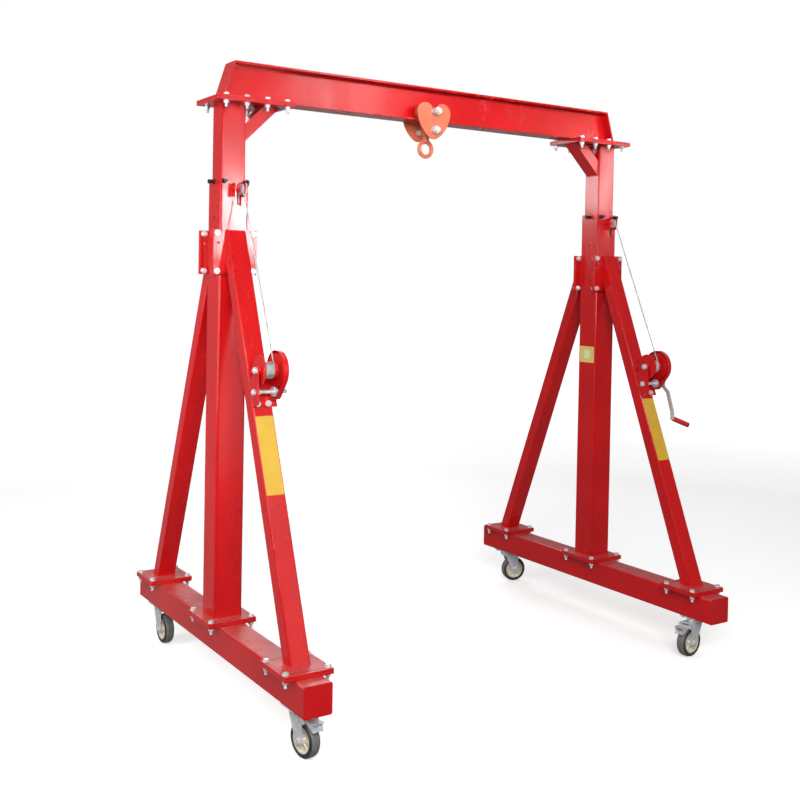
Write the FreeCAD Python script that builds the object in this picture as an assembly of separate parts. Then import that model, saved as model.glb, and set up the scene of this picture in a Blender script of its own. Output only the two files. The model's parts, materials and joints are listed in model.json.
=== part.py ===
import FreeCAD, Part
import math
import os

os.makedirs("parts", exist_ok=True)
V = FreeCAD.Vector

# ---------------------------------------------------------------- main sizes (mm)
post_spacing = 2000.0        # centre to centre of the two posts
base_length = 1640.0         # each base beam, front to back
base_width = 112.0
base_height = 112.0
base_wall = 5.0
base_corner = 8.0            # outer corner radius of the base beams' section
under_base = 175.0           # floor to the underside of the base beams
head_height = 2348.0         # floor to the underside of the lower head plates, as set
left_post_top = 2049.0       # floor to the top of the left outer post
right_post_drop = 42.0       # how much lower the right frame's post, clamps and winch sit

# ---------------------------------------------------------------- plates and posts
pad_thick = 10.0
foot_pad_x = 190.0
foot_pad_y = 196.0
foot_bolt_x = 82.0           # bolt offsets from a pad's centre
foot_bolt_y = 76.0
centre_pad_x = 200.0
centre_pad_y = 220.0
centre_bolt_x = 85.0
centre_bolt_y = 93.0
outer_x = 120.0
outer_y = 120.0
outer_wall = 4.0
outer_corner = 8.0
inner_x = 100.0
inner_y = 100.0
inner_wall = 4.0
inner_corner = 6.0
inner_bottom = 1467.0        # lower end of the inner posts, as set
screw_hole_below_top = 153.0
screw_hole_diameter = 14.0

# ---------------------------------------------------------------- braces and clamps
brace_x = 80.0
brace_depth = 60.0
brace_wall = 4.0
brace_corner = 6.0
brace_foot_y = 660.0         # brace foot centre from the post axis
brace_top_stand = 10.0       # brace face stands this far off the clamp at its top
brace_cap = 6.0
clamp_below_top = 204.0      # clamp plates' top edge below the outer post's top
clamp_height = 175.0
clamp_width = 184.0
clamp_thick = 8.0
clamp_bolt_x = 76.0
clamp_bolt_z = 74.0
small_hole_diameter = 8.0

# ---------------------------------------------------------------- bolts
bolt_d = 12.0
bolt_spare = 14.0            # thread standing out past the nut on the frame and head bolts
short_spare = 4.0            # the same on the clamp and winch bolts
bolt_hole_play = 0.5         # radial play of a bolt in its plate
washer_thick = 2.0
lock_d = 12.0
lock_tip_gap = 0.3
lock_below_top = 12.0
lock_front_x = 46.0
lock_front_reach = 22.0
lock_side_reach = 26.0
lock_nut = 17.5              # across the flats
lock_cap_r = 8.5

# ---------------------------------------------------------------- beam and head plates
beam_height = 150.0
beam_width = 96.0
beam_flange = 9.0
beam_web = 6.0
beam_end_plate = 8.0
beam_over = 48.0             # beam's lower edge beyond the post axis
beam_slant = 48.0            # upper edge set back by this much
head_plate_thick = 10.0
head_plate_out = 95.0        # plate edge outward of the post axis
head_plate_in = 233.0        # plate edge inward of the post axis
head_plate_y = 228.0
head_bolt_first = -55.0      # first bolt from the post axis, inward positive
head_bolt_pitch = 88.0
head_bolt_y = 95.0
knee_drop = 146.0            # knee's lower corner below the head plate
knee_run = 150.0             # knee's reach along the plate from the post's face
knee_y = 80.0
knee_depth = 50.0
knee_wall = 4.0

# ---------------------------------------------------------------- trolley
trolley_offset = -56.0       # trolley from the middle of the beam, as set
trolley_plate_gap = 116.0    # between the inner faces of the side plates
trolley_plate_thick = 8.0
trolley_wheel_d = 56.0
trolley_rim_d = 78.0         # guiding rim outside the beam's flange
trolley_rim_gap = 1.5        # rim to the flange's edge
trolley_wheel_x = 45.0
wheel_from_web = 14.0        # wheels' inner ends from the beam's web
trolley_wheel_rise = 0.3     # running gap above the flange
trolley_lobe_r = 42.0
trolley_load_drop = 40.0     # load bar below the flange's underside
trolley_foot_r = 40.0
trolley_bulge_r = 150.0      # radius of the side plates' long edges
tie_bolt_rise = 4.0          # middle stud above the wheel axles
tie_bolt_d = 20.0
tie_bolt_in = 1.0            # stud's inner end from the plate's inner face
tie_bolt_out = 47.0          # stud's outer end from the plate's outer face
trolley_bar_d = 20.0
trolley_bar_out = 37.0       # load bar's ends from the plates' outer faces
big_nut = 30.0               # across the flats of the trolley's nuts
big_nut_h = 16.0
lock_nut_h = 12.0
load_spacer_r = 15.0
eye_boss_r = 19.0
eye_boss_width = 32.0
eye_ring_r = 32.5
eye_rod_r = 9.5
eye_drop = 78.0              # ring centre below the load bar
eye_shoulder_r = 17.0
eye_neck_r = 14.0
pin_play = 0.05

# ---------------------------------------------------------------- rope, sheave, winch
rope_x = 20.0                # rope plane beside the post axis
rope_d = 5.0
sheave_d = 44.0
sheave_groove_d = 34.0
sheave_width = 12.0
sheave_axle_d = 10.0
sheave_below_top = 42.0
sheave_gap = 5.0             # rim to inner post
cheek_thick = 4.0
cheek_left = -12.0           # outer face of the -X cheek from the post axis
cheek_play = 5.0             # sheave to the +X cheek
cheek_front = 20.0           # cheeks' front edge from the sheave's axle
cheek_up = 22.0
cheek_down = 30.0
sheave_spacer_r = 9.0
sheave_nut = 17.0
sheave_nut_h = 7.0
sheave_head_h = 5.0
sheave_axle_spare = 8.0      # axle past the +X cheek
anchor_height = 12.0
winch_below_clamp = 598.0    # drum axis below the clamp's top, measured down the brace
winch_stand = 74.0           # drum axis from the brace face
winch_plate = 4.0
winch_base_thick = 6.0
winch_base_low = 122.0       # lower end of the winch's base plate below the drum axis
winch_base_high = 30.0
winch_boss_r = 16.0          # side plate's corner round the drum bolt
winch_low_depth = 52.0       # side plate's depth at its lower end
cover_x = 36.0               # gear cover's open side from the post axis
cover_depth = 22.0
cover_wall = 3.0
cover_r = 74.0
cover_low_r = 30.0
shaft_down = 72.0            # pinion shaft from the drum axis, down the brace
shaft_in = 40.0              # pinion shaft from the drum axis, toward the brace
drum_d = 53.0
drum_flange_d = 116.0
drum_flange_t = 3.0
drum_bolt_d = 16.0
gear_d = 124.0
gear_width = 8.0
pinion_d = 36.0
shaft_d = 14.0
coil_gap = 0.3               # between neighbouring turns and between rope and drum
coil_turns = 8               # turns lying beside the live turn on its post side
live_turn = 290.0            # degrees the live turn goes round the drum
crank_post_x = 84.0          # crank hub from the right post's axis
crank_hub_r = 17.0
crank_neck_r = 13.0
crank_lean = 18.5            # crank's rest angle from the vertical, degrees
crank_first_bend = 12.0      # bends of the crank's bar, measured from the hub
crank_second_bend = 46.0
crank_third_bend = 148.0
crank_end_run = 25.0         # bar beyond the third bend
crank_offset = 24.0          # the crank's arm steps out by this much
crank_bar_w = 20.0
crank_bar_t = 7.0
grip_tilt = 22.0             # grip below the hub's axis direction, degrees
grip_d = 24.0
grip_length = 98.0
grip_pin_d = 12.0
grip_start_gap = 1.0         # bar to the grip's end
grip_pin_spare = 3.0

# ---------------------------------------------------------------- casters
wheel_d = 130.0
tyre_width = 42.0
hub_d = 96.0
caster_y = 680.0
caster_trail = 40.0
caster_plate_x = 100.0
caster_plate_y = 86.0
caster_plate_thick = 5.0
race_d = 62.0
race_height = 20.0
fork_thick = 4.0
fork_inside = 54.0
axle_d = 12.0
swivel_gap = 0.3
crown_thick = 5.0
fork_back = -16.0            # fork leg's top edge starts this far along the trail
fork_top = 72.0              # fork leg's width at its top
fork_boss_r = 20.0
king_nut = 22.0
king_nut_h = 9.0
axle_nut_h = 8.0
tyre_shoulder = 12.0
hub_inset = 3.0
hub_boss_r = 14.0
hub_dish_r = 29.0
hub_dish_depth = 6.0
hub_dish_tube = 8.0
king_d = 14.0
caster_bolt_d = 8.0
caster_bolt_x = 39.0
caster_bolt_y = 32.0
pedal_hinge_out = 26.0       # pedal hinge from the wheel axle, along the trail
pedal_hinge_below = 8.0      # pedal hinge below the crown
pedal_reach = 52.0
pedal_rise = 4.0             # outer edge of the release plate above the hinge
lock_plate_out = 46.0        # outer edge of the locking plate from the hinge
lock_plate_drop = 26.0
pedal_boss_r = 5.5
pedal_width = 44.0
pedal_thick = 3.0
pedal_pin_d = 6.0
# trail direction of each caster, degrees from +X
caster_turn = {
    "left_front": -80.0,
    "left_back": -88.5,
    "right_front": 184.7,
    "right_back": -16.6,
}

# ---------------------------------------------------------------- derived
half_span = post_spacing / 2.0
grip_pin_length = crank_bar_t + grip_start_gap + grip_length + grip_pin_spare
tilt_cos = math.cos(math.radians(grip_tilt))
tilt_sin = math.sin(math.radians(grip_tilt))
reach_left = max(centre_pad_x / 2.0, head_plate_out, outer_x / 2.0 + lock_side_reach)
reach_right = crank_post_x + crank_offset - crank_end_run * tilt_sin
reach_right = reach_right + grip_pin_length * tilt_cos + grip_pin_d / 2.0 * tilt_sin
mid_x = round((reach_left - reach_right) / 2.0)     # keeps the overall box centred on the origin
base_top = under_base + base_height
foot_level = base_top + 2.0 * pad_thick
beam_bottom = head_height + 2.0 * head_plate_thick
beam_top = beam_bottom + beam_height
flange_top = beam_bottom + beam_flange
sides = {
    "left": {"x": mid_x - half_span, "inward": 1.0, "top": left_post_top},
    "right": {"x": mid_x + half_span, "inward": -1.0, "top": left_post_top - right_post_drop},
}
for side in sides.values():
    side["clamp_top"] = side["top"] - clamp_below_top
    side["clamp_mid"] = side["clamp_top"] - clamp_height / 2.0


def box(x0, x1, y0, y1, z0, z1):
    return Part.makeBox(x1 - x0, y1 - y0, z1 - z0, V(x0, y0, z0))


def rod(start, direction, radius, length):
    return Part.makeCylinder(radius, length, start, direction)


def rounded(block, along, radius):
    """Round the edges of a block that run in one direction."""
    run = V(along)
    run.normalize()
    edges = []
    for edge in block.Edges:
        step = edge.Vertexes[-1].Point - edge.Vertexes[0].Point
        if abs(step.normalize().dot(run)) > 0.999:
            edges.append(edge)
    return block.makeFillet(radius, edges)


def fuse(shapes):
    whole = shapes[0]
    for extra in shapes[1:]:
        whole = whole.fuse(extra)
    return whole.removeSplitter()


def prism(points, direction):
    """Solid swept from a closed outline along a vector."""
    wire = Part.makePolygon(points + [points[0]])
    return Part.Face(wire).extrude(direction)


def hexagon(centre, direction, across, height):
    """Hexagonal prism standing on centre, along direction."""
    axis = V(direction)
    axis.normalize()
    ref = V(1, 0, 0) if abs(axis.x) < 0.9 else V(0, 1, 0)
    u = axis.cross(ref)
    u.normalize()
    w = axis.cross(u)
    radius = across / math.sqrt(3.0)
    points = []
    for i in range(6):
        t = math.radians(60.0 * i)
        points.append(centre + u * (radius * math.cos(t)) + w * (radius * math.sin(t)))
    return prism(points, axis * height)


def bolt(seat, direction, grip, diameter=bolt_d, spare=short_spare):
    """Hexagon bolt, washers and nut in one solid; seat is under the head's washer."""
    axis = V(direction)
    axis.normalize()
    across = diameter * 1.58
    washer_r = diameter
    head_h = diameter * 0.62
    nut_h = diameter * 0.8
    far = seat + axis * grip
    pieces = [
        hexagon(seat - axis * washer_thick, axis * -1.0, across, head_h),
        rod(seat, axis * -1.0, washer_r, washer_thick),
        rod(seat - axis * washer_thick, axis, diameter / 2.0, grip + 2 * washer_thick + nut_h + spare),
        rod(far, axis, washer_r, washer_thick),
        hexagon(far + axis * washer_thick, axis, across, nut_h),
    ]
    return fuse(pieces)


def hole(point, direction, diameter, length):
    """Cutting cylinder centred on point."""
    axis = V(direction)
    axis.normalize()
    return rod(point - axis * (length / 2.0), axis, diameter / 2.0, length)


def turned(shape, centre, axis, degrees):
    moved = shape.copy()
    moved.rotate(centre, axis, degrees)
    return moved


def save(name, shapes):
    """Write one node; shapes is one solid or a list of separate solids."""
    if isinstance(shapes, list):
        shape = Part.makeCompound(shapes) if len(shapes) > 1 else shapes[0]
    else:
        shape = shapes
    shape.exportStep("parts/%s.step" % name)


def square_tube(x, half_x, half_y, z0, z1, wall, corner):
    """Upright tube with rounded corners, centred on the X-Z plane."""
    up = V(0, 0, 1)
    outer = rounded(box(x - half_x, x + half_x, -half_y, half_y, z0, z1), up, corner)
    in_x = half_x - wall
    in_y = half_y - wall
    inner = rounded(box(x - in_x, x + in_x, -in_y, in_y, z0, z1), up, corner - wall)
    return outer.cut(inner)


def corners_of(dx, dy):
    """The four corners of a rectangle about its centre."""
    return [(-dx, -dy), (dx, -dy), (-dx, dy), (dx, dy)]


# ================================================================ base beams and pads
bolt_hole_d = bolt_d + 2.0 * bolt_hole_play
base_beams = []
base_pads = []
foot_plates = []
frame_bolts = []


def pad(cx, cy, size_x, size_y, z0, bolt_x, bolt_y):
    plate = box(cx - size_x / 2, cx + size_x / 2, cy - size_y / 2, cy + size_y / 2, z0, z0 + pad_thick)
    for sx in (-1, 1):
        for sy in (-1, 1):
            at = V(cx + sx * bolt_x, cy + sy * bolt_y, z0 + pad_thick / 2)
            plate = plate.cut(hole(at, V(0, 0, 1), bolt_hole_d, pad_thick * 3))
    return plate


for side in sides.values():
    x = side["x"]
    lengthwise = V(0, 1, 0)
    body = box(
        x - base_width / 2,
        x + base_width / 2,
        -base_length / 2,
        base_length / 2,
        under_base,
        base_top,
    )
    inside = box(
        x - base_width / 2 + base_wall,
        x + base_width / 2 - base_wall,
        -base_length / 2 + base_wall,
        base_length / 2 - base_wall,
        under_base + base_wall,
        base_top - base_wall,
    )
    beam = rounded(body, lengthwise, base_corner)
    beam = beam.cut(rounded(inside, lengthwise, base_corner - base_wall))
    for cy in (-caster_y, caster_y):
        for bx, by in corners_of(caster_bolt_x, caster_bolt_y):
            at = V(x + bx, cy + by, under_base)
            beam = beam.cut(hole(at, V(0, 0, 1), caster_bolt_d + 2 * bolt_hole_play, 4 * base_wall))
            seat = V(x + bx, cy + by, under_base - caster_plate_thick)
            frame_bolts.append(bolt(seat, V(0, 0, 1), caster_plate_thick + base_wall, caster_bolt_d))
    base_beams.append(beam)
    spots = [
        (-brace_foot_y, foot_pad_x, foot_pad_y, foot_bolt_x, foot_bolt_y),
        (0.0, centre_pad_x, centre_pad_y, centre_bolt_x, centre_bolt_y),
        (brace_foot_y, foot_pad_x, foot_pad_y, foot_bolt_x, foot_bolt_y),
    ]
    for cy, size_x, size_y, bx, by in spots:
        base_pads.append(pad(x, cy, size_x, size_y, base_top, bx, by))
        foot_plates.append(pad(x, cy, size_x, size_y, base_top + pad_thick, bx, by))
        for sx in (-1, 1):
            for sy in (-1, 1):
                seat = V(x + sx * bx, cy + sy * by, foot_level)
                frame_bolts.append(bolt(seat, V(0, 0, -1), 2 * pad_thick, spare=bolt_spare))
save("base_beams", base_beams)
save("base_pads", base_pads)
save("foot_plates", foot_plates)

# ================================================================ outer posts
outer_posts = []
lock_screws = []
for side in sides.values():
    x = side["x"]
    top = side["top"]
    post = square_tube(x, outer_x / 2, outer_y / 2, foot_level, top, outer_wall, outer_corner)
    # empty tapped hole in the -X wall
    at = V(x - outer_x / 2 + outer_wall / 2, 0, top - screw_hole_below_top)
    post = post.cut(hole(at, V(1, 0, 0), screw_hole_diameter, outer_wall * 2))
    # slot for the sheave and the rope
    slot = box(
        x + rope_x - sheave_width / 2 - 3.0,
        x + rope_x + sheave_width / 2 + 3.0,
        -outer_y / 2 - 1.0,
        -outer_y / 2 + outer_wall + 1.0,
        top - sheave_below_top - 62.0,
        top - sheave_below_top + sheave_d / 2 + 5.0,
    )
    post = post.cut(slot)
    # lock screws round the top, their tips just off the inner post
    lock_z = top - lock_below_top
    places = [
        (V(x - lock_front_x, -outer_y / 2, lock_z), V(0, -1, 0), lock_front_reach, outer_y / 2 - inner_y / 2),
        (V(x + lock_front_x, -outer_y / 2, lock_z), V(0, -1, 0), lock_front_reach, outer_y / 2 - inner_y / 2),
        (V(x - outer_x / 2, 0, lock_z), V(-1, 0, 0), lock_side_reach, outer_x / 2 - inner_x / 2),
        (V(x + outer_x / 2, 0, lock_z), V(1, 0, 0), lock_side_reach, outer_x / 2 - inner_x / 2),
    ]
    for wall_point, out, reach, depth in places:
        post = post.cut(hole(wall_point, out, lock_d + 0.4, outer_wall * 4))
        screw = fuse([
            rod(wall_point + out * reach, out * -1.0, lock_d / 2, reach + depth - lock_tip_gap),
            hexagon(wall_point, out, lock_nut, lock_d * 0.5),
            rod(wall_point + out * (reach - lock_d * 0.8), out, lock_cap_r, lock_d * 0.8),
        ])
        lock_screws.append(screw)
    outer_posts.append(post)
save("outer_posts", outer_posts)
save("lock_screws", lock_screws)

# ================================================================ clamps
post_clamp_plates = []
brace_clamp_plates = []


def clamp_plate(x, y_inner, outward, side):
    y0 = min(y_inner, y_inner + outward * clamp_thick)
    plate = box(
        x - clamp_width / 2,
        x + clamp_width / 2,
        y0,
        y0 + clamp_thick,
        side["clamp_top"] - clamp_height,
        side["clamp_top"],
    )
    for sx in (-1, 1):
        for sz in (-1, 1):
            at = V(x + sx * clamp_bolt_x, y0 + clamp_thick / 2, side["clamp_mid"] + sz * clamp_bolt_z)
            plate = plate.cut(hole(at, V(0, 1, 0), bolt_hole_d, clamp_thick * 3))
    spot = V(x - clamp_bolt_x + 5.0, y0 + clamp_thick / 2, side["clamp_mid"] + clamp_bolt_z - 38.0)
    return plate.cut(hole(spot, V(0, 1, 0), small_hole_diameter, clamp_thick * 3))


for side in sides.values():
    x = side["x"]
    for outward in (-1.0, 1.0):
        face = outward * outer_y / 2
        post_clamp_plates.append(clamp_plate(x, face, outward, side))
        brace_clamp_plates.append(clamp_plate(x, face + outward * clamp_thick, outward, side))
        for sx in (-1, 1):
            for sz in (-1, 1):
                seat = V(
                    x + sx * clamp_bolt_x,
                    face + outward * 2 * clamp_thick,
                    side["clamp_mid"] + sz * clamp_bolt_z,
                )
                frame_bolts.append(bolt(seat, V(0, -outward, 0), 2 * clamp_thick))
save("post_clamp_plates", post_clamp_plates)
save("brace_clamp_plates", brace_clamp_plates)

# ================================================================ braces
clamp_face = outer_y / 2 + 2 * clamp_thick


def brace_lean(side):
    """Angle from the vertical of a brace, found so its face meets the clamp's top edge."""
    rise = side["clamp_top"] - foot_level
    lean = math.radians(20.0)
    for _ in range(40):
        half = brace_depth / 2.0 / math.cos(lean)
        run = brace_foot_y - (clamp_face + brace_top_stand - half)
        lean = math.atan2(run, rise)
    return lean


def brace(side, outward):
    x = side["x"]
    lean = brace_lean(side)
    along = V(0, -outward * math.sin(lean), math.cos(lean))
    foot = V(x, outward * brace_foot_y, foot_level)
    length = (side["clamp_top"] - foot_level) / math.cos(lean)
    across = V(0, outward * math.cos(lean), math.sin(lean))

    def bar(half_x, half_depth, start, end):
        p = foot + along * start + across * (-half_depth) + V(-half_x, 0, 0)
        outline = [p, p + V(2 * half_x, 0, 0)]
        outline.append(outline[1] + across * (2 * half_depth))
        outline.append(outline[0] + across * (2 * half_depth))
        return prism(outline, along * (end - start))

    body = rounded(bar(brace_x / 2, brace_depth / 2, -80.0, length + 80.0), along, brace_corner)
    cavity = bar(brace_x / 2 - brace_wall, brace_depth / 2 - brace_wall, -100.0, length + 100.0)
    cavity = rounded(cavity, along, brace_corner - brace_wall)
    cavity = cavity.common(box(x - 200, x + 200, -2000, 2000, 0, side["clamp_top"] - brace_cap))
    body = body.cut(cavity)
    keep_y0 = clamp_face if outward > 0 else -2000
    keep_y1 = 2000 if outward > 0 else -clamp_face
    keep = box(x - 200, x + 200, keep_y0, keep_y1, foot_level, side["clamp_top"])
    return body.common(keep)


front_braces = [brace(side, -1.0) for side in sides.values()]
back_braces = [brace(side, 1.0) for side in sides.values()]
save("back_braces", back_braces)

# ================================================================ winches
winch_frames = []
sheave_brackets = []
wire_ropes = []


def winch_place(side):
    """Origin on the front brace's face, and its up, out and across directions."""
    lean = brace_lean(side)
    up = V(0, math.sin(lean), math.cos(lean))
    out = V(0, -math.cos(lean), math.sin(lean))
    top = V(side["x"], -(clamp_face + brace_top_stand), side["clamp_top"])
    origin = top - up * winch_below_clamp
    return origin, up, out


def lobed_block(x0, drum_at, shaft_at, big_r, small_r, thick):
    """Block along X whose outline is two round lobes joined by their tangents."""
    gap = shaft_at - drum_at
    line = V(gap)
    line.normalize()
    side_dir = V(1, 0, 0).cross(line)
    turn = math.asin((big_r - small_r) / gap.Length)
    start = V(x0 - drum_at.x, 0, 0)
    corners = []
    for sign in (1.0, -1.0):
        normal = line * math.sin(turn) + side_dir * (sign * math.cos(turn))
        corners.append((drum_at + normal * big_r + start, shaft_at + normal * small_r + start))
    points = [corners[0][0], corners[0][1], corners[1][1], corners[1][0]]
    return fuse([
        prism(points, V(thick, 0, 0)),
        rod(drum_at + start, V(1, 0, 0), big_r, thick),
        rod(shaft_at + start, V(1, 0, 0), small_r, thick),
    ])


def winch_block(origin, up, out, corners, x0, x1):
    """Block along X with its outline given as (up the brace, out from its face) pairs."""
    points = [origin + V(x0, 0, 0) + up * u + out * n for u, n in corners]
    return prism(points, V(x1 - x0, 0, 0))


winch_axles = []
winch_bolt_spots = [(-22.0, -110.0), (22.0, -110.0)]
plate_x = -brace_x / 2
cover_face = cover_x + cover_depth
for side in sides.values():
    x = side["x"]
    ax = V(1, 0, 0)
    origin, up, out = winch_place(side)
    drum_at = origin + out * winch_stand + V(rope_x, 0, 0)
    shaft_at = drum_at - up * shaft_down - out * shaft_in
    side["drum_at"] = drum_at
    side["shaft_at"] = shaft_at
    base = winch_block(origin, up, out, [
        (-winch_base_low, 0.0),
        (winch_base_high, 0.0),
        (winch_base_high, winch_base_thick),
        (-winch_base_low, winch_base_thick),
    ], plate_x, cover_face)
    plate = winch_block(origin, up, out, [
        (-winch_base_low, 0.0),
        (-winch_base_low, winch_low_depth),
        (0.0, winch_stand + winch_boss_r),
        (0.0, winch_stand - winch_boss_r),
        (-12.0, 0.0),
    ], plate_x, plate_x + winch_plate)
    plate = plate.fuse(rod(V(x + plate_x, drum_at.y, drum_at.z), ax, winch_boss_r, winch_plate))
    cover = lobed_block(x + cover_x, drum_at, shaft_at, cover_r, cover_low_r, cover_depth)
    hollow = lobed_block(
        x + cover_x,
        drum_at,
        shaft_at,
        cover_r - cover_wall,
        cover_low_r - cover_wall,
        cover_depth - cover_wall,
    )
    cover = cover.cut(hollow)
    behind = winch_block(origin, up, out, [
        (-300.0, -200.0),
        (300.0, -200.0),
        (300.0, 0.0),
        (-300.0, 0.0),
    ], -200.0, 200.0)
    frame = fuse([base, plate, cover.cut(behind)])
    # the drum's bolt and the pinion shaft pass through the plate and the cover
    frame = frame.cut(hole(drum_at, ax, drum_bolt_d + 0.4, 400.0))
    frame = frame.cut(hole(shaft_at, ax, shaft_d + 2 * pin_play, 400.0))
    winch_bolts = []
    for bx, bu in winch_bolt_spots:
        seat = origin + V(bx, 0, 0) + up * bu + out * winch_base_thick
        frame = frame.cut(hole(seat, out, bolt_hole_d, 40.0))
        winch_bolts.append((seat, out * -1.0))
    side["winch_bolts"] = winch_bolts
    winch_frames.append(frame)
    axle_start = V(x + plate_x - 14.0, drum_at.y, drum_at.z)
    winch_axles.append(fuse([
        rod(axle_start, ax, drum_bolt_d / 2, cover_face + 14.0 - plate_x + 14.0),
        hexagon(V(x + plate_x, drum_at.y, drum_at.z), V(-1, 0, 0), 24.0, 10.0),
        hexagon(V(x + cover_face, drum_at.y, drum_at.z), V(1, 0, 0), 24.0, 10.0),
    ]))
save("winch_frames", winch_frames)
save("winch_axles", winch_axles)

# the winch bolts pass the brace's face wall
drilled = []
for shape, side in zip(front_braces, sides.values()):
    for seat, inward in side["winch_bolts"]:
        wall_at = seat + inward * (winch_base_thick + brace_wall / 2)
        shape = shape.cut(hole(wall_at, inward, bolt_hole_d, 20.0))
        frame_bolts.append(bolt(seat, inward, winch_base_thick + brace_wall))
    drilled.append(shape)
save("front_braces", drilled)
save("frame_bolts", frame_bolts)

rope_r = rope_d / 2.0
lay_r = drum_d / 2.0 + rope_r + coil_gap
coil_pitch = rope_d + coil_gap
flange_x = rope_x - (coil_turns + 0.5) * coil_pitch - coil_gap - drum_flange_t
gear_x = cover_x + 1.0
for name, side in sides.items():
    x = side["x"]
    drum_at = side["drum_at"]
    shaft_at = side["shaft_at"]
    ax = V(1, 0, 0)

    def on_drum(x_off):
        return V(x + x_off, drum_at.y, drum_at.z)

    def on_shaft(x_off):
        return V(x + x_off, shaft_at.y, shaft_at.z)

    drum = fuse([
        rod(on_drum(plate_x + winch_plate + 1.0), ax, 14.0, flange_x - plate_x - winch_plate - 1.0),
        rod(on_drum(flange_x), ax, drum_flange_d / 2, drum_flange_t),
        rod(on_drum(flange_x), ax, drum_d / 2, gear_x - flange_x),
        rod(on_drum(gear_x), ax, gear_d / 2, gear_width),
        rod(on_drum(gear_x), ax, 14.0, cover_face - cover_wall - 1.0 - gear_x),
    ])
    drum = drum.cut(hole(drum_at, ax, drum_bolt_d + 2 * pin_play, 400.0))
    save("%s_winch_drum" % name, drum)
    # turns of rope that lie on the drum beside the live turn
    coils = []
    for i in range(1, coil_turns + 1):
        coils.append(Part.makeTorus(lay_r, rope_r, on_drum(rope_x - i * coil_pitch), ax))
    save("%s_rope_coil" % name, coils)
    end_x = crank_post_x + crank_bar_t + 3.0 if name == "right" else crank_post_x + 6.0
    shaft = fuse([
        rod(on_shaft(plate_x - 12.0), ax, shaft_d / 2, end_x - plate_x + 12.0),
        hexagon(on_shaft(plate_x - 0.5), V(-1, 0, 0), 22.0, 8.0),
        rod(on_shaft(plate_x + winch_plate + 1.0), ax, shaft_d / 2 + 4.0, 14.0),
        rod(on_shaft(gear_x - 6.0), ax, pinion_d / 2, gear_width + 8.0),
    ])
    save("%s_winch_shaft" % name, shaft)

# crank on the right winch, hanging down beside the brace
side = sides["right"]
shaft_at = side["shaft_at"]
lean = math.radians(crank_lean)
axis = V(1, 0, 0)
down = V(0, -math.sin(lean), -math.cos(lean))
wide = V(0, math.cos(lean), -math.sin(lean))
hub_at = V(side["x"] + crank_post_x, shaft_at.y, shaft_at.z)
grip_axis = axis * tilt_cos + down * tilt_sin
end_dir = down * tilt_cos - axis * tilt_sin


def flat_bar(a, b, thick_dir):
    """Flat bar between two points, wide across the crank's plane."""
    p = a - wide * (crank_bar_w / 2)
    q = b - wide * (crank_bar_w / 2)
    outline = [p, q, q + thick_dir, p + thick_dir]
    return prism(outline, wide * crank_bar_w)


thick = axis * crank_bar_t
step_out = axis * crank_offset
first_bend = hub_at + down * crank_first_bend
second_bend = hub_at + down * crank_second_bend + step_out
third_bend = hub_at + down * crank_third_bend + step_out
end = third_bend + end_dir * crank_end_run
crank = fuse([
    rod(hub_at, axis, crank_hub_r, crank_bar_t),
    rod(hub_at - axis * (crank_bar_t - 1.0), axis, crank_neck_r, 2 * (crank_bar_t - 1.0)),
    flat_bar(hub_at, first_bend, thick),
    flat_bar(first_bend, second_bend, thick),
    flat_bar(second_bend, third_bend, thick),
    flat_bar(third_bend, end, grip_axis * crank_bar_t),
    rod(third_bend, wide, 0.5 * crank_bar_t, crank_bar_w / 2).fuse(
        rod(third_bend, wide * -1.0, 0.5 * crank_bar_t, crank_bar_w / 2)
    ),
    rod(end, grip_axis, crank_bar_w / 2, crank_bar_t),
    rod(end, grip_axis, grip_pin_d / 2, grip_pin_length),
])
crank = crank.cut(hole(hub_at, axis, shaft_d, 60.0))
save("winch_crank", crank)
grip_start = end + grip_axis * (crank_bar_t + grip_start_gap)
grip = rod(grip_start, grip_axis, grip_d / 2, grip_length)
grip = grip.cut(hole(grip_start, grip_axis, grip_pin_d + 2 * pin_play, 4 * grip_length))
save("crank_grip", grip)

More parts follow.
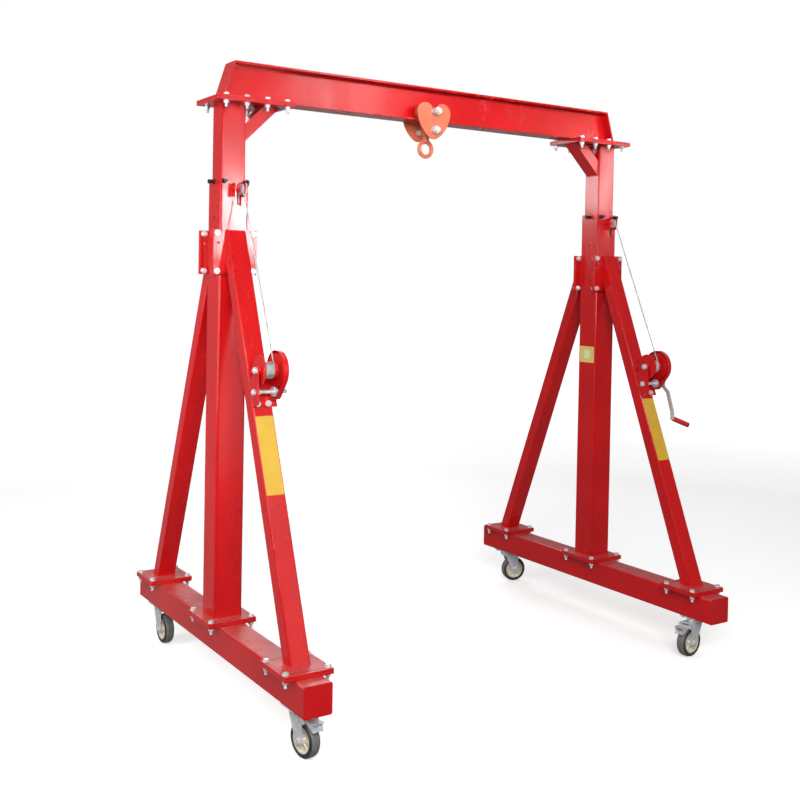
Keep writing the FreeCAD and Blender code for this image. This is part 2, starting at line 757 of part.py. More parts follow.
# ================================================================ sheaves and ropes
pitch_r = sheave_groove_d / 2.0 + rope_r + coil_gap
for name, side in sides.items():
    x = side["x"]
    sheave_at = V(
        x + rope_x,
        -(inner_y / 2 + sheave_gap + sheave_d / 2),
        side["top"] - sheave_below_top,
    )
    ax = V(1, 0, 0)
    disc = rod(sheave_at - ax * (sheave_width / 2), ax, sheave_d / 2, sheave_width)
    groove = Part.makeTorus(sheave_d / 2 + 0.6, (sheave_d - sheave_groove_d) / 2 + 0.6, sheave_at, ax)
    disc = disc.cut(groove)
    disc = disc.cut(hole(sheave_at, ax, sheave_axle_d + 2 * pin_play, 60.0))
    save("%s_sheave" % name, disc)
    # bracket: two cheeks welded to the post, axle and spacers
    left_cheek = x + cheek_left
    left_inner = left_cheek + cheek_thick
    sheave_start = sheave_at.x - sheave_width / 2 - swivel_gap
    sheave_stop = sheave_at.x + sheave_width / 2 + swivel_gap
    right_cheek = sheave_at.x + sheave_width / 2 + cheek_play
    right_outer = right_cheek + cheek_thick
    cheeks = []
    for cx in (left_cheek, right_cheek):
        cheeks.append(box(
            cx,
            cx + cheek_thick,
            sheave_at.y - cheek_front,
            -outer_y / 2,
            sheave_at.z - cheek_down,
            sheave_at.z + cheek_up,
        ))

    def on_axle(x_at):
        return V(x_at, sheave_at.y, sheave_at.z)

    axle_from = left_cheek - sheave_head_h
    axle_to = right_outer + sheave_axle_spare
    sheave_brackets.append(fuse(cheeks + [
        rod(on_axle(axle_from), ax, sheave_axle_d / 2, axle_to - axle_from),
        rod(on_axle(left_inner), ax, sheave_spacer_r, sheave_start - left_inner),
        rod(on_axle(sheave_stop), ax, sheave_spacer_r, right_cheek - sheave_stop),
        hexagon(on_axle(left_cheek), V(-1, 0, 0), sheave_nut, sheave_head_h),
        hexagon(on_axle(right_outer), V(1, 0, 0), sheave_nut, sheave_nut_h),
    ]))

    # rope: from the drum up to the sheave, over it, and down inside the post to the inner post's foot
    drum_at = side["drum_at"]
    gap_y = -(outer_y / 2 - outer_wall + inner_y / 2) / 2.0
    # outer tangent between the drum circle and the sheave circle, both wrapped on their front side
    dy = sheave_at.y - drum_at.y
    dz = sheave_at.z - drum_at.z
    span = math.hypot(dy, dz)
    base_angle = math.atan2(dz, dy)
    open_angle = math.acos((lay_r - pitch_r) / span)
    tangent = base_angle + open_angle
    from_drum = V(x + rope_x, drum_at.y + lay_r * math.cos(tangent), drum_at.z + lay_r * math.sin(tangent))
    on_sheave = V(x + rope_x, sheave_at.y + pitch_r * math.cos(tangent), sheave_at.z + pitch_r * math.sin(tangent))
    # inner run leaves the sheave at a small slant, then turns down the gap
    bend = V(x + rope_x, gap_y, sheave_at.z - 52.0)
    by = bend.y - sheave_at.y
    bz = bend.z - sheave_at.z
    reach = math.hypot(by, bz)
    leave = math.atan2(bz, by) + math.acos(pitch_r / reach)
    off_sheave = V(x + rope_x, sheave_at.y + pitch_r * math.cos(leave), sheave_at.z + pitch_r * math.sin(leave))
    middle = (tangent + leave) / 2.0
    over = V(x + rope_x, sheave_at.y + pitch_r * math.cos(middle), sheave_at.z + pitch_r * math.sin(middle))
    toward = bend - off_sheave
    toward.normalize()
    turn = math.acos(max(-1.0, min(1.0, toward.dot(V(0, 0, -1)))))
    bend_r = 60.0
    cut_back = bend_r * math.tan(turn / 2.0)
    bend_in = bend - toward * cut_back
    bend_out = bend + V(0, 0, -cut_back)
    centre = bend_out + V(0, -bend_r, 0)
    mid_dir = (bend_in - centre) + (bend_out - centre)
    mid_dir.normalize()
    bend_mid = centre + mid_dir * bend_r
    low = V(x + rope_x, gap_y, inner_bottom - anchor_height)
    lay_end = tangent + math.radians(live_turn)
    lay_mid = tangent + math.radians(live_turn / 2.0)

    def on_lay(angle):
        return V(x + rope_x, drum_at.y + lay_r * math.cos(angle), drum_at.z + lay_r * math.sin(angle))

    edges = [
        Part.Arc(on_lay(lay_end), on_lay(lay_mid), from_drum).toShape(),
        Part.LineSegment(from_drum, on_sheave).toShape(),
        Part.Arc(on_sheave, over, off_sheave).toShape(),
        Part.LineSegment(off_sheave, bend_in).toShape(),
        Part.Arc(bend_in, bend_mid, bend_out).toShape(),
        Part.LineSegment(bend_out, low).toShape(),
    ]
    path = Part.Wire(edges)
    start_dir = V(0, math.sin(lay_end), -math.cos(lay_end))
    circle = Part.Wire([Part.makeCircle(rope_r, on_lay(lay_end), start_dir)])
    rope = path.makePipeShell([circle], True, True)
    wire_ropes.append(rope)
    side["rope_y"] = gap_y
save("sheave_brackets", sheave_brackets)
save("wire_ropes", wire_ropes)

# ================================================================ bridge: beam, head plates, inner posts
low_half = half_span + beam_over
top_half = low_half - beam_slant


def slanted(y0, y1, z0, z1, inset=0.0):
    """Block between two heights whose ends follow the beam's slanted ends."""
    def half_at(z):
        return low_half - beam_slant * (z - beam_bottom) / beam_height - inset
    points = [
        V(mid_x - half_at(z0), y0, z0),
        V(mid_x + half_at(z0), y0, z0),
        V(mid_x + half_at(z1), y0, z1),
        V(mid_x - half_at(z1), y0, z1),
    ]
    return prism(points, V(0, y1 - y0, 0))


whole = slanted(-beam_width / 2, beam_width / 2, beam_bottom, beam_top)
end_inset = beam_end_plate * math.hypot(beam_slant, beam_height) / beam_height
for sign in (-1, 1):
    y0 = beam_web / 2 if sign > 0 else -beam_width / 2
    y1 = beam_width / 2 if sign > 0 else -beam_web / 2
    y_low = y0 if sign > 0 else y0 - 1.0
    y_high = y1 + 1.0 if sign > 0 else y1
    recess = slanted(y_low, y_high, flange_top, beam_top - beam_flange, end_inset)
    whole = whole.cut(recess)
save("bridge_beam", whole)

post_head_plates = []
beam_head_plates = []
head_bolts = []
inner_posts = []
knee_braces = []
rope_anchors = []


def head_plate(side, z0):
    x = side["x"]
    inward = side["inward"]
    xa = x - inward * head_plate_out
    xb = x + inward * head_plate_in
    plate = box(min(xa, xb), max(xa, xb), -head_plate_y / 2, head_plate_y / 2, z0, z0 + head_plate_thick)
    for i in range(4):
        for sy in (-1, 1):
            at = V(x + inward * (head_bolt_first + i * head_bolt_pitch), sy * head_bolt_y, z0)
            plate = plate.cut(hole(at, V(0, 0, 1), bolt_hole_d, head_plate_thick * 4))
    return plate


for side in sides.values():
    x = side["x"]
    inward = side["inward"]
    post_head_plates.append(head_plate(side, head_height))
    beam_head_plates.append(head_plate(side, head_height + head_plate_thick))
    for i in range(4):
        for sy in (-1, 1):
            seat = V(x + inward * (head_bolt_first + i * head_bolt_pitch), sy * head_bolt_y, beam_bottom)
            head_bolts.append(bolt(seat, V(0, 0, -1), 2 * head_plate_thick, spare=bolt_spare))
    inner_posts.append(square_tube(
        x,
        inner_x / 2,
        inner_y / 2,
        inner_bottom,
        head_height,
        inner_wall,
        inner_corner,
    ))
    # knee: a leaning tube between the post's inward face and the head plate
    slope = math.atan2(knee_drop, knee_run)
    along = V(inward * math.cos(slope), 0, math.sin(slope))
    inside_dir = V(-inward * math.sin(slope), 0, math.cos(slope))
    corner = V(x + inward * inner_x / 2, -knee_y / 2, head_height - knee_drop)
    length = math.hypot(knee_drop, knee_run)

    def knee_bar(margin, start, stop, y_in):
        p = corner + along * start + inside_dir * margin + V(0, y_in, 0)
        q = corner + along * stop + inside_dir * margin + V(0, y_in, 0)
        lift = inside_dir * (knee_depth - 2 * margin)
        return prism([p, q, q + lift, p + lift], V(0, knee_y - 2 * y_in, 0))

    bar = knee_bar(0.0, -120.0, length + 120.0, 0.0)
    bar = bar.cut(knee_bar(knee_wall, -140.0, length + 140.0, knee_wall))
    xa = x + inward * inner_x / 2
    xb = x + inward * (head_plate_in + 200.0)
    keep = box(min(xa, xb), max(xa, xb), -200, 200, head_height - 400, head_height)
    knee_braces.append(bar.common(keep))
    # rope anchor under the inner post's foot: a lug with a notch that the rope runs in
    lug = box(
        x + rope_x - 14.0,
        x + rope_x + 14.0,
        -outer_y / 2 + outer_wall + 0.5,
        -inner_y / 2 + inner_wall,
        inner_bottom - anchor_height,
        inner_bottom,
    )
    lug = lug.cut(hole(V(x + rope_x, side["rope_y"], inner_bottom), V(0, 0, 1), rope_d + 0.6, 200.0))
    rope_anchors.append(lug)
save("post_head_plates", post_head_plates)
save("beam_head_plates", beam_head_plates)
save("head_bolts", head_bolts)
save("inner_posts", inner_posts)
save("knee_braces", knee_braces)
save("rope_anchors", rope_anchors)

# ================================================================ trolley
trolley_at = mid_x + trolley_offset
wheel_z = flange_top + trolley_wheel_rise + trolley_wheel_d / 2
load_z = beam_bottom - trolley_load_drop
side_plates = []
wheels = []
stubs = []


def side_plate(y0):
    """Side plate: two round lobes over the wheels and a round foot, with bulging long edges."""
    y_dir = V(0, 1, 0)
    foot = V(trolley_at, y0, load_z)
    shapes = [rod(foot, y_dir, trolley_foot_r, trolley_plate_thick)]
    for sgn in (-1.0, 1.0):
        lobe = V(trolley_at + sgn * trolley_wheel_x, y0, wheel_z)
        shapes.append(rod(lobe, y_dir, trolley_lobe_r, trolley_plate_thick))
        # the bulging edge is a large arc that touches the lobe and the foot from outside
        reach_lobe = trolley_bulge_r - trolley_lobe_r
        reach_foot = trolley_bulge_r - trolley_foot_r
        step = foot - lobe
        gap = step.Length
        step.normalize()
        along = (reach_lobe ** 2 - reach_foot ** 2 + gap ** 2) / (2 * gap)
        aside = math.sqrt(reach_lobe ** 2 - along ** 2)
        normal = V(-step.z * sgn, 0, step.x * sgn)
        if normal.x * sgn > 0:
            normal = normal * -1.0
        centre = lobe + step * along + normal * aside
        on_lobe = lobe + (lobe - centre).normalize() * trolley_lobe_r
        on_foot = foot + (foot - centre).normalize() * trolley_foot_r
        mid_dir = (on_lobe - centre) + (on_foot - centre)
        mid_dir.normalize()
        edges = [
            Part.Arc(on_lobe, centre + mid_dir * trolley_bulge_r, on_foot).toShape(),
            Part.LineSegment(on_foot, foot).toShape(),
            Part.LineSegment(foot, V(trolley_at, y0, wheel_z)).toShape(),
            Part.LineSegment(V(trolley_at, y0, wheel_z), lobe).toShape(),
            Part.LineSegment(lobe, on_lobe).toShape(),
        ]
        shapes.append(Part.Face(Part.Wire(edges)).extrude(y_dir * trolley_plate_thick))
    plate = fuse(shapes)
    plate = plate.cut(hole(foot, y_dir, trolley_bar_d + 2 * pin_play, 60.0))
    for sgn in (-1.0, 1.0):
        axle_at = V(trolley_at + sgn * trolley_wheel_x, y0, wheel_z)
        plate = plate.cut(hole(axle_at, y_dir, bolt_d + 2 * pin_play, 60.0))
    return plate.cut(hole(V(trolley_at, y0, wheel_z + tie_bolt_rise), y_dir, tie_bolt_d + 2 * pin_play, 60.0))


rim_face = beam_width / 2 + trolley_rim_gap
for sy in (-1, 1):
    inner_face = sy * trolley_plate_gap / 2
    y0 = inner_face if sy > 0 else inner_face - trolley_plate_thick
    out = V(0, sy, 0)
    side_plates.append(side_plate(y0))
    back = trolley_plate_gap / 2 - 2.0
    tip = beam_web / 2 + wheel_from_web
    for sgn in (-1, 1):
        axle_at = V(trolley_at + sgn * trolley_wheel_x, 0, wheel_z)
        wheels.append(fuse([
            rod(axle_at + out * tip, out, trolley_wheel_d / 2, back - tip),
            rod(axle_at + out * rim_face, out, trolley_rim_d / 2, back - rim_face),
            rod(axle_at + out * back, out, bolt_d / 2, trolley_plate_thick + 2.0),
            rod(axle_at + out * back, out, bolt_d, 2.0),
        ]))
    tie_at = V(trolley_at, inner_face, wheel_z + tie_bolt_rise)
    tie_face = tie_at + out * trolley_plate_thick
    stubs.append(fuse([
        rod(tie_at - out * tie_bolt_in, out, tie_bolt_d / 2, tie_bolt_in + trolley_plate_thick + tie_bolt_out),
        hexagon(tie_face, out, big_nut, big_nut_h),
        hexagon(tie_face + out * (big_nut_h + 4.0), out, big_nut, big_nut_h),
    ]))
save("trolley_side_plates", side_plates)
save("trolley_wheels", wheels)

outer_face = trolley_plate_gap / 2 + trolley_plate_thick
bar_half = outer_face + trolley_bar_out
bar_parts = [rod(V(trolley_at, -bar_half, load_z), V(0, 1, 0), trolley_bar_d / 2, 2 * bar_half)]
spacer_start = eye_boss_width / 2 + 1.0
for sy in (-1, 1):
    out = V(0, sy, 0)
    at = V(trolley_at, 0, load_z)
    bar_parts.append(hexagon(at + out * outer_face, out, big_nut, big_nut_h))
    bar_parts.append(hexagon(at + out * (outer_face + big_nut_h), out, big_nut, lock_nut_h))
    spacer_length = trolley_plate_gap / 2 - spacer_start
    bar_parts.append(rod(at + out * spacer_start, out, load_spacer_r, spacer_length))
save("trolley_bolts", stubs + [fuse(bar_parts)])

eye_at = V(trolley_at, 0, load_z - eye_drop)
eye = fuse([
    Part.makeTorus(eye_ring_r, eye_rod_r, eye_at, V(0, 1, 0)),
    Part.makeCone(
        eye_shoulder_r,
        eye_neck_r,
        load_z - eye_at.z - eye_ring_r,
        V(trolley_at, 0, eye_at.z + eye_ring_r),
    ),
    rod(V(trolley_at, -eye_boss_width / 2, load_z), V(0, 1, 0), eye_boss_r, eye_boss_width),
])
eye = eye.cut(hole(V(trolley_at, 0, load_z), V(0, 1, 0), trolley_bar_d + 2 * pin_play, 80.0))
save("trolley_eye", eye)

# ================================================================ casters
caster_top_plates = []
axle_z = wheel_d / 2
plate_z0 = under_base - caster_plate_thick
race_z0 = plate_z0 - race_height
crown_z1 = race_z0 - swivel_gap
crown_z0 = crown_z1 - crown_thick
half_in = fork_inside / 2
caster_bolt_hole = caster_bolt_d + 2 * bolt_hole_play
up = V(0, 0, 1)
sideways = V(0, 1, 0)
casters = {
    "left_front": (mid_x - half_span, -caster_y),
    "left_back": (mid_x - half_span, caster_y),
    "right_front": (mid_x + half_span, -caster_y),
    "right_back": (mid_x + half_span, caster_y),
}


def caster_top(cx, cy):
    """Bolted plate with the fixed race, and the king pin with its nut under the crown."""
    king_foot = crown_z0 - king_nut_h - 1.0
    top = fuse([
        box(
            cx - caster_plate_x / 2,
            cx + caster_plate_x / 2,
            cy - caster_plate_y / 2,
            cy + caster_plate_y / 2,
            plate_z0,
            under_base,
        ),
        rod(V(cx, cy, race_z0), up, race_d / 2, race_height),
        rod(V(cx, cy, king_foot), up, king_d / 2, race_z0 - king_foot),
        hexagon(V(cx, cy, crown_z0 - swivel_gap), up * -1.0, king_nut, king_nut_h),
    ])
    for bx, by in corners_of(caster_bolt_x, caster_bolt_y):
        at = V(cx + bx, cy + by, plate_z0)
        top = top.cut(hole(at, up, caster_bolt_hole, 4 * caster_plate_thick))
    return top


def caster_fork(cx, cy, wx, hinge_at):
    """Crown and two legs with the wheel's axle; the trail runs along +X from the swivel axis."""
    shelf_half = half_in + fork_thick
    parts = [
        rod(V(cx, cy, crown_z0), up, race_d / 2, crown_thick),
        box(cx, cx + fork_back + fork_top, cy - shelf_half, cy + shelf_half, crown_z0, crown_z1),
    ]
    for sy in (-1, 1):
        y_in = cy + sy * half_in
        out = V(0, sy, 0)
        leg_top = cx + fork_back
        outline = [
            V(leg_top, y_in, crown_z1),
            V(leg_top + fork_top, y_in, crown_z1),
            V(wx + fork_boss_r, y_in, axle_z),
            V(wx - fork_boss_r, y_in, axle_z),
        ]
        axle_face = V(wx, y_in + sy * fork_thick, axle_z)
        parts.append(prism(outline, out * fork_thick))
        parts.append(rod(V(wx, y_in, axle_z), out, fork_boss_r, fork_thick))
        parts.append(hexagon(axle_face, out, axle_d * 1.58, axle_nut_h))
        if hinge_at is not None:
            ear = [
                V(leg_top + fork_top / 2, y_in, crown_z1),
                V(hinge_at.x + pedal_pin_d, y_in, crown_z1),
                V(hinge_at.x + pedal_pin_d, y_in, hinge_at.z - pedal_pin_d),
                V(leg_top + fork_top / 2, y_in, hinge_at.z - 3 * pedal_pin_d),
            ]
            parts.append(prism(ear, out * fork_thick))
    axle_half = half_in + fork_thick + 2.0
    parts.append(rod(V(wx, cy - axle_half, axle_z), sideways, axle_d / 2, 2 * axle_half))
    if hinge_at is not None:
        parts.append(rod(hinge_at - sideways * half_in, sideways, pedal_pin_d / 2, fork_inside))
    fork = fuse(parts)
    return fork.cut(hole(V(cx, cy, crown_z0), up, king_d + 2 * pin_play, 8 * crown_thick))


def caster_hub(wx, cy):
    """Moulded wheel centre with a dished face on each side."""
    hub_half = tyre_width / 2 - hub_inset
    boss_half = half_in - swivel_gap
    hub = fuse([
        rod(V(wx, cy - hub_half, axle_z), sideways, hub_d / 2, 2 * hub_half),
        rod(V(wx, cy - boss_half, axle_z), sideways, hub_boss_r, 2 * boss_half),
    ])
    dish_y = hub_half + hub_dish_tube - hub_dish_depth
    for sy in (-1, 1):
        hub = hub.cut(Part.makeTorus(hub_dish_r, hub_dish_tube, V(wx, cy + sy * dish_y, axle_z), sideways))
    return hub.cut(hole(V(wx, cy, axle_z), sideways, axle_d + 2 * pin_play, 2 * tyre_width))


def caster_tyre(wx, cy):
    """Tyre with rounded shoulders."""
    tyre = rod(V(wx, cy - tyre_width / 2, axle_z), sideways, wheel_d / 2, tyre_width)
    rims = [e for e in tyre.Edges if e.Closed and e.Length > math.pi * hub_d]
    tyre = tyre.makeFillet(tyre_shoulder, rims)
    return tyre.cut(hole(V(wx, cy, axle_z), sideways, hub_d + 2 * pin_play, 2 * tyre_width))


def pedal_plate(hinge_at, rise, out):
    """Plate from the hinge to its outer edge, which lies out along the trail and up by rise."""
    reach = math.hypot(rise, out)
    across = V(-rise / reach, 0, out / reach) * pedal_thick
    start = hinge_at - sideways * (pedal_width / 2) - across * 0.5
    far = start + V(out, 0, rise)
    return prism([start, far, far + across, start + across], sideways * pedal_width)


def caster_pedal(hinge_at):
    """Rocker pedal: a release plate over a locking plate, on a pin between the fork's legs."""
    boss_half = half_in - 1.0
    parts = [
        rod(hinge_at - sideways * boss_half, sideways, pedal_boss_r, 2 * boss_half),
        pedal_plate(hinge_at, pedal_rise, pedal_reach),
        pedal_plate(hinge_at, -lock_plate_drop, lock_plate_out),
    ]
    # side cheeks join the two plates
    for y in (-pedal_width / 2, pedal_width / 2 - pedal_thick):
        corner = hinge_at + sideways * y
        cheek = [
            corner,
            corner + V(0.8 * pedal_reach, 0, 0.8 * pedal_rise),
            corner + V(0.9 * lock_plate_out, 0, -0.9 * lock_plate_drop),
        ]
        parts.append(prism(cheek, sideways * pedal_thick))
    pedal = fuse(parts)
    return pedal.cut(hole(hinge_at, sideways, pedal_pin_d + 2 * pin_play, 2 * fork_inside))


for name, (cx, cy) in casters.items():
    wx = cx + caster_trail
    hinge_at = None
    if name.endswith("front"):
        hinge_at = V(wx + pedal_hinge_out, cy, crown_z0 - pedal_hinge_below)
    turning = {
        "fork": caster_fork(cx, cy, wx, hinge_at),
        "hub": caster_hub(wx, cy),
        "tyre": caster_tyre(wx, cy),
    }
    if hinge_at is not None:
        turning["pedal"] = caster_pedal(hinge_at)
    for kind, shape in turning.items():
        save("%s_%s" % (name, kind), turned(shape, V(cx, cy, 0), up, caster_turn[name]))
    caster_top_plates.append(caster_top(cx, cy))
save("caster_top_plates", caster_top_plates)
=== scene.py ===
import json
import math

import bmesh
import bpy
import numpy
from bpy.props import FloatProperty, FloatVectorProperty, IntProperty, PointerProperty
from mathutils import Matrix, Vector

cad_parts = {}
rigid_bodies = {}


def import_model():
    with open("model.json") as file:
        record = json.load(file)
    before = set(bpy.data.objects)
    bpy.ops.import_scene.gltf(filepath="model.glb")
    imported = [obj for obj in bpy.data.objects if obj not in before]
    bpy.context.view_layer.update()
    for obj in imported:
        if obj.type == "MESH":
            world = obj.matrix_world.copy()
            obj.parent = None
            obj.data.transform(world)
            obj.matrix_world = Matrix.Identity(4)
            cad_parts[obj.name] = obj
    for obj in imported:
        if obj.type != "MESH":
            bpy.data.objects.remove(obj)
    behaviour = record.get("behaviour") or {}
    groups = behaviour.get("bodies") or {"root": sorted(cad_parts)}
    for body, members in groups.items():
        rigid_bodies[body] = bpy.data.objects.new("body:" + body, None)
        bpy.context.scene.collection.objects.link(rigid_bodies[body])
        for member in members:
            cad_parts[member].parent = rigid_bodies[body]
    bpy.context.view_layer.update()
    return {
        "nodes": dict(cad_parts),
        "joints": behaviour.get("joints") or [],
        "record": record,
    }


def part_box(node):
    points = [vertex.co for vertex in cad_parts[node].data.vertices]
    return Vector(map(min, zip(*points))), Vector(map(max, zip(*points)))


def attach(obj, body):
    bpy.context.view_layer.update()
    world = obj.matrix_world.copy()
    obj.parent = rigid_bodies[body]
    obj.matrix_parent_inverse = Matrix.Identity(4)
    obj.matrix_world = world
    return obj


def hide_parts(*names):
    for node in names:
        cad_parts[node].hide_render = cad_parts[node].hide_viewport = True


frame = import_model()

bl_info = {
    "name": "Gantry crane looks",
    "version": (1, 0, 0),
    "blender": (4, 5, 0),
    "location": "3D View > Sidebar > Crane",
    "description": "Finishes a wheeled gantry crane: paint, fasteners, ropes, winches, casters and stage",
    "category": "Object",
}

SIDES = ("left", "right")
CASTERS = ("left_front", "left_back", "right_front", "right_back")

SAME_POINT = 0.00002  # corners closer than this are one corner
SLICE_DEPTH = 0.0005  # corners this near one height or face lie on it
HEAD, NUT, THREAD = range(3)  # the shapes a fastener's point can carry
WASHER_THICK = 0.17  # in bolt diameters
THREAD_SIZE = 0.98  # a thread's outside diameter, in bolt diameters
WELD_CORNERS = {"outer_posts": 0.008, "inner_posts": 0.006, "braces": 0.006, "knee_braces": 0.002}
SEAM_INSET = 0.0024  # a straight bead lies this far inside a tube's rounded corner
END_INSET = 0.004  # and stops this far from the plate's edge
FILM_SINK = 0.0002  # a film's back lies this far in the face under it
TOOTH_CORNERS = 4  # rim corners for each tooth and the gap after it
TOOTH_MIDDLE, GAP_MIDDLE = 1.5, 3.5  # counted in those corners


# ---------------------------------------------------------------- settings
class EnamelSettings(bpy.types.PropertyGroup):
    """Paint on the crane's steelwork."""

    red: FloatVectorProperty(
        name="Frame red", description="Colour of the frame's enamel", subtype="COLOR",
        size=3, min=0.0, max=1.0, default=(0.58, 0.0055, 0.0075),
    )
    orange: FloatVectorProperty(
        name="Trolley orange", description="Colour of the trolley's enamel", subtype="COLOR",
        size=3, min=0.0, max=1.0, default=(0.73, 0.18, 0.095),
    )
    gloss_roughness: FloatProperty(
        name="Roughness", description="Roughness of the enamel where it is clean",
        min=0.02, max=1.0, default=0.20,
    )
    edge_round: FloatProperty(
        name="Edge rounding", description="Radius of the softened plate edges",
        subtype="DISTANCE", unit="LENGTH", min=0.0, max=0.004, default=0.0012,
    )


class SteelSettings(bpy.types.PropertyGroup):
    """Plated and bare metal."""

    zinc: FloatVectorProperty(
        name="Zinc", description="Colour of the zinc plating", subtype="COLOR",
        size=3, min=0.0, max=1.0, default=(0.80, 0.82, 0.85),
    )
    rope: FloatVectorProperty(
        name="Rope wire", description="Colour of the rope's wires", subtype="COLOR",
        size=3, min=0.0, max=1.0, default=(0.57, 0.58, 0.585),
    )
    black: FloatVectorProperty(
        name="Black steel", description="Colour of the blackened screws", subtype="COLOR",
        size=3, min=0.0, max=1.0, default=(0.02, 0.02, 0.022),
    )


class CasterSettings(bpy.types.PropertyGroup):
    """Wheels and grip."""

    rubber: FloatVectorProperty(
        name="Sidewall rubber", description="Colour of the tyres' sides", subtype="COLOR",
        size=3, min=0.0, max=1.0, default=(0.018, 0.019, 0.021),
    )
    tread: FloatVectorProperty(
        name="Tread rubber", description="Colour of the tyres' running band", subtype="COLOR",
        size=3, min=0.0, max=1.0, default=(0.16, 0.16, 0.152),
    )
    tyre_width: FloatProperty(
        name="Tyre width", description="Width of a tyre", subtype="DISTANCE", unit="LENGTH",
        min=0.01, max=0.1, default=0.042,
    )
    hub_diameter: FloatProperty(
        name="Hub diameter", description="Where the tyre ends and the moulded centre starts",
        subtype="DISTANCE", unit="LENGTH", min=0.03, max=0.12, default=0.096,
    )
    shoulder: FloatProperty(
        name="Tyre shoulder", description="Radius of the tyre's rounded shoulders",
        subtype="DISTANCE", unit="LENGTH", min=0.001, max=0.02, default=0.012,
    )
    ribs: IntProperty(name="Hub ribs", description="Ribs in a wheel's dished face", min=3, max=16, default=8)
    rim_width: FloatProperty(
        name="Rim width", description="Width of the moulded centre's outer rim, seen from the side",
        subtype="DISTANCE", unit="LENGTH", min=0.001, max=0.02, default=0.005,
    )
    dish_depth: FloatProperty(
        name="Dish depth", description="Depth of the dished face below the tyre's side",
        subtype="DISTANCE", unit="LENGTH", min=0.0, max=0.02, default=0.0098,
    )
    rib_depth: FloatProperty(
        name="Rib depth", description="Depth of the ribs' tops below the tyre's side",
        subtype="DISTANCE", unit="LENGTH", min=0.0, max=0.02, default=0.0048,
    )
    boss_radius: FloatProperty(
        name="Boss radius", description="Radius of the boss round the axle",
        subtype="DISTANCE", unit="LENGTH", min=0.008, max=0.03, default=0.0139,
    )
    boss_length: FloatProperty(
        name="Boss length", description="Length of the boss along the axle",
        subtype="DISTANCE", unit="LENGTH", min=0.02, max=0.1, default=0.0534,
    )
    bore_radius: FloatProperty(
        name="Bore radius", description="Radius of the bore round the axle",
        subtype="DISTANCE", unit="LENGTH", min=0.002, max=0.02, default=0.00605,
    )
    race_radius: FloatProperty(
        name="Race radius", description="Largest radius of a swivel's pressed ball race",
        subtype="DISTANCE", unit="LENGTH", min=0.02, max=0.06, default=0.0348,
    )
    race_height: FloatProperty(
        name="Race height", description="Height of a swivel's pressed ball race",
        subtype="DISTANCE", unit="LENGTH", min=0.005, max=0.04, default=0.0199,
    )
    race_drop: FloatProperty(
        name="Race drop", description="Underside of the race below the top of its caster's plate",
        subtype="DISTANCE", unit="LENGTH", min=0.005, max=0.05, default=0.0246,
    )
    core: FloatVectorProperty(
        name="Wheel core", description="Colour of the moulded wheel centres", subtype="COLOR",
        size=3, min=0.0, max=1.0, default=(0.72, 0.66, 0.52),
    )
    grip: FloatVectorProperty(
        name="Crank grip", description="Colour of the crank's handle", subtype="COLOR",
        size=3, min=0.0, max=1.0, default=(0.60, 0.02, 0.02),
    )


class WinchSettings(bpy.types.PropertyGroup):
    """Winch gears and welds."""

    gear_teeth: IntProperty(
        name="Gear teeth", description="Teeth on each drum's gear", min=8, max=120, default=62,
    )
    pinion_teeth: IntProperty(
        name="Pinion teeth", description="Teeth on each pinion", min=6, max=40, default=18,
    )
    gear_root: FloatProperty(
        name="Gear root radius", description="Radius at the foot of the gear's teeth",
        subtype="DISTANCE", unit="LENGTH", default=0.062,
    )
    pinion_root: FloatProperty(
        name="Pinion root radius", description="Radius at the foot of the pinion's teeth",
        subtype="DISTANCE", unit="LENGTH", default=0.018,
    )
    tooth_height: FloatProperty(
        name="Tooth height", description="Height of the teeth", subtype="DISTANCE", unit="LENGTH",
        default=0.0021,
    )
    gear_offset: FloatProperty(
        name="Gear offset", description="Middle of the gear from the middle of the rope's live turn",
        subtype="DISTANCE", unit="LENGTH", default=0.021,
    )
    gear_width: FloatProperty(
        name="Gear width", description="Width of the gear's teeth", subtype="DISTANCE", unit="LENGTH",
        default=0.0076,
    )
    bead_radius: FloatProperty(
        name="Weld bead radius", description="Radius of the weld beads",
        subtype="DISTANCE", unit="LENGTH", min=0.001, max=0.008, default=0.0028,
    )


class LabelSettings(bpy.types.PropertyGroup):
    """Blank stickers on the steelwork."""

    sticker: FloatVectorProperty(
        name="Sticker yellow", description="Colour of the blank stickers on the front braces",
        subtype="COLOR", size=3, min=0.0, max=1.0, default=(0.66, 0.40, 0.035),
    )
    sticker_width: FloatProperty(
        name="Sticker width", description="Width of a brace's sticker", subtype="DISTANCE", unit="LENGTH",
        default=0.071,
    )
    sticker_top: FloatProperty(
        name="Sticker top", description="Upper end of the sticker below the top of the brace",
        subtype="DISTANCE", unit="LENGTH", default=0.701,
    )
    sticker_length: FloatProperty(
        name="Sticker length", description="Height of a brace's sticker", subtype="DISTANCE", unit="LENGTH",
        default=0.276,
    )
    right_rise: FloatProperty(
        name="Right sticker rise", description="How much higher the right brace's sticker sits",
        subtype="DISTANCE", unit="LENGTH", default=0.021,
    )
    plate_width: FloatProperty(
        name="Plate width", description="Width of the blank plate on the right post",
        subtype="DISTANCE", unit="LENGTH", default=0.102,
    )
    plate_height: FloatProperty(
        name="Plate height", description="Height of the blank plate on the right post",
        subtype="DISTANCE", unit="LENGTH", default=0.080,
    )
    plate_above_floor: FloatProperty(
        name="Plate above floor", description="Lower edge of the blank plate above the floor",
        subtype="DISTANCE", unit="LENGTH", default=1.271,
    )
    film: FloatProperty(
        name="Film thickness", description="Thickness of the stickers", subtype="DISTANCE", unit="LENGTH",
        default=0.0004,
    )


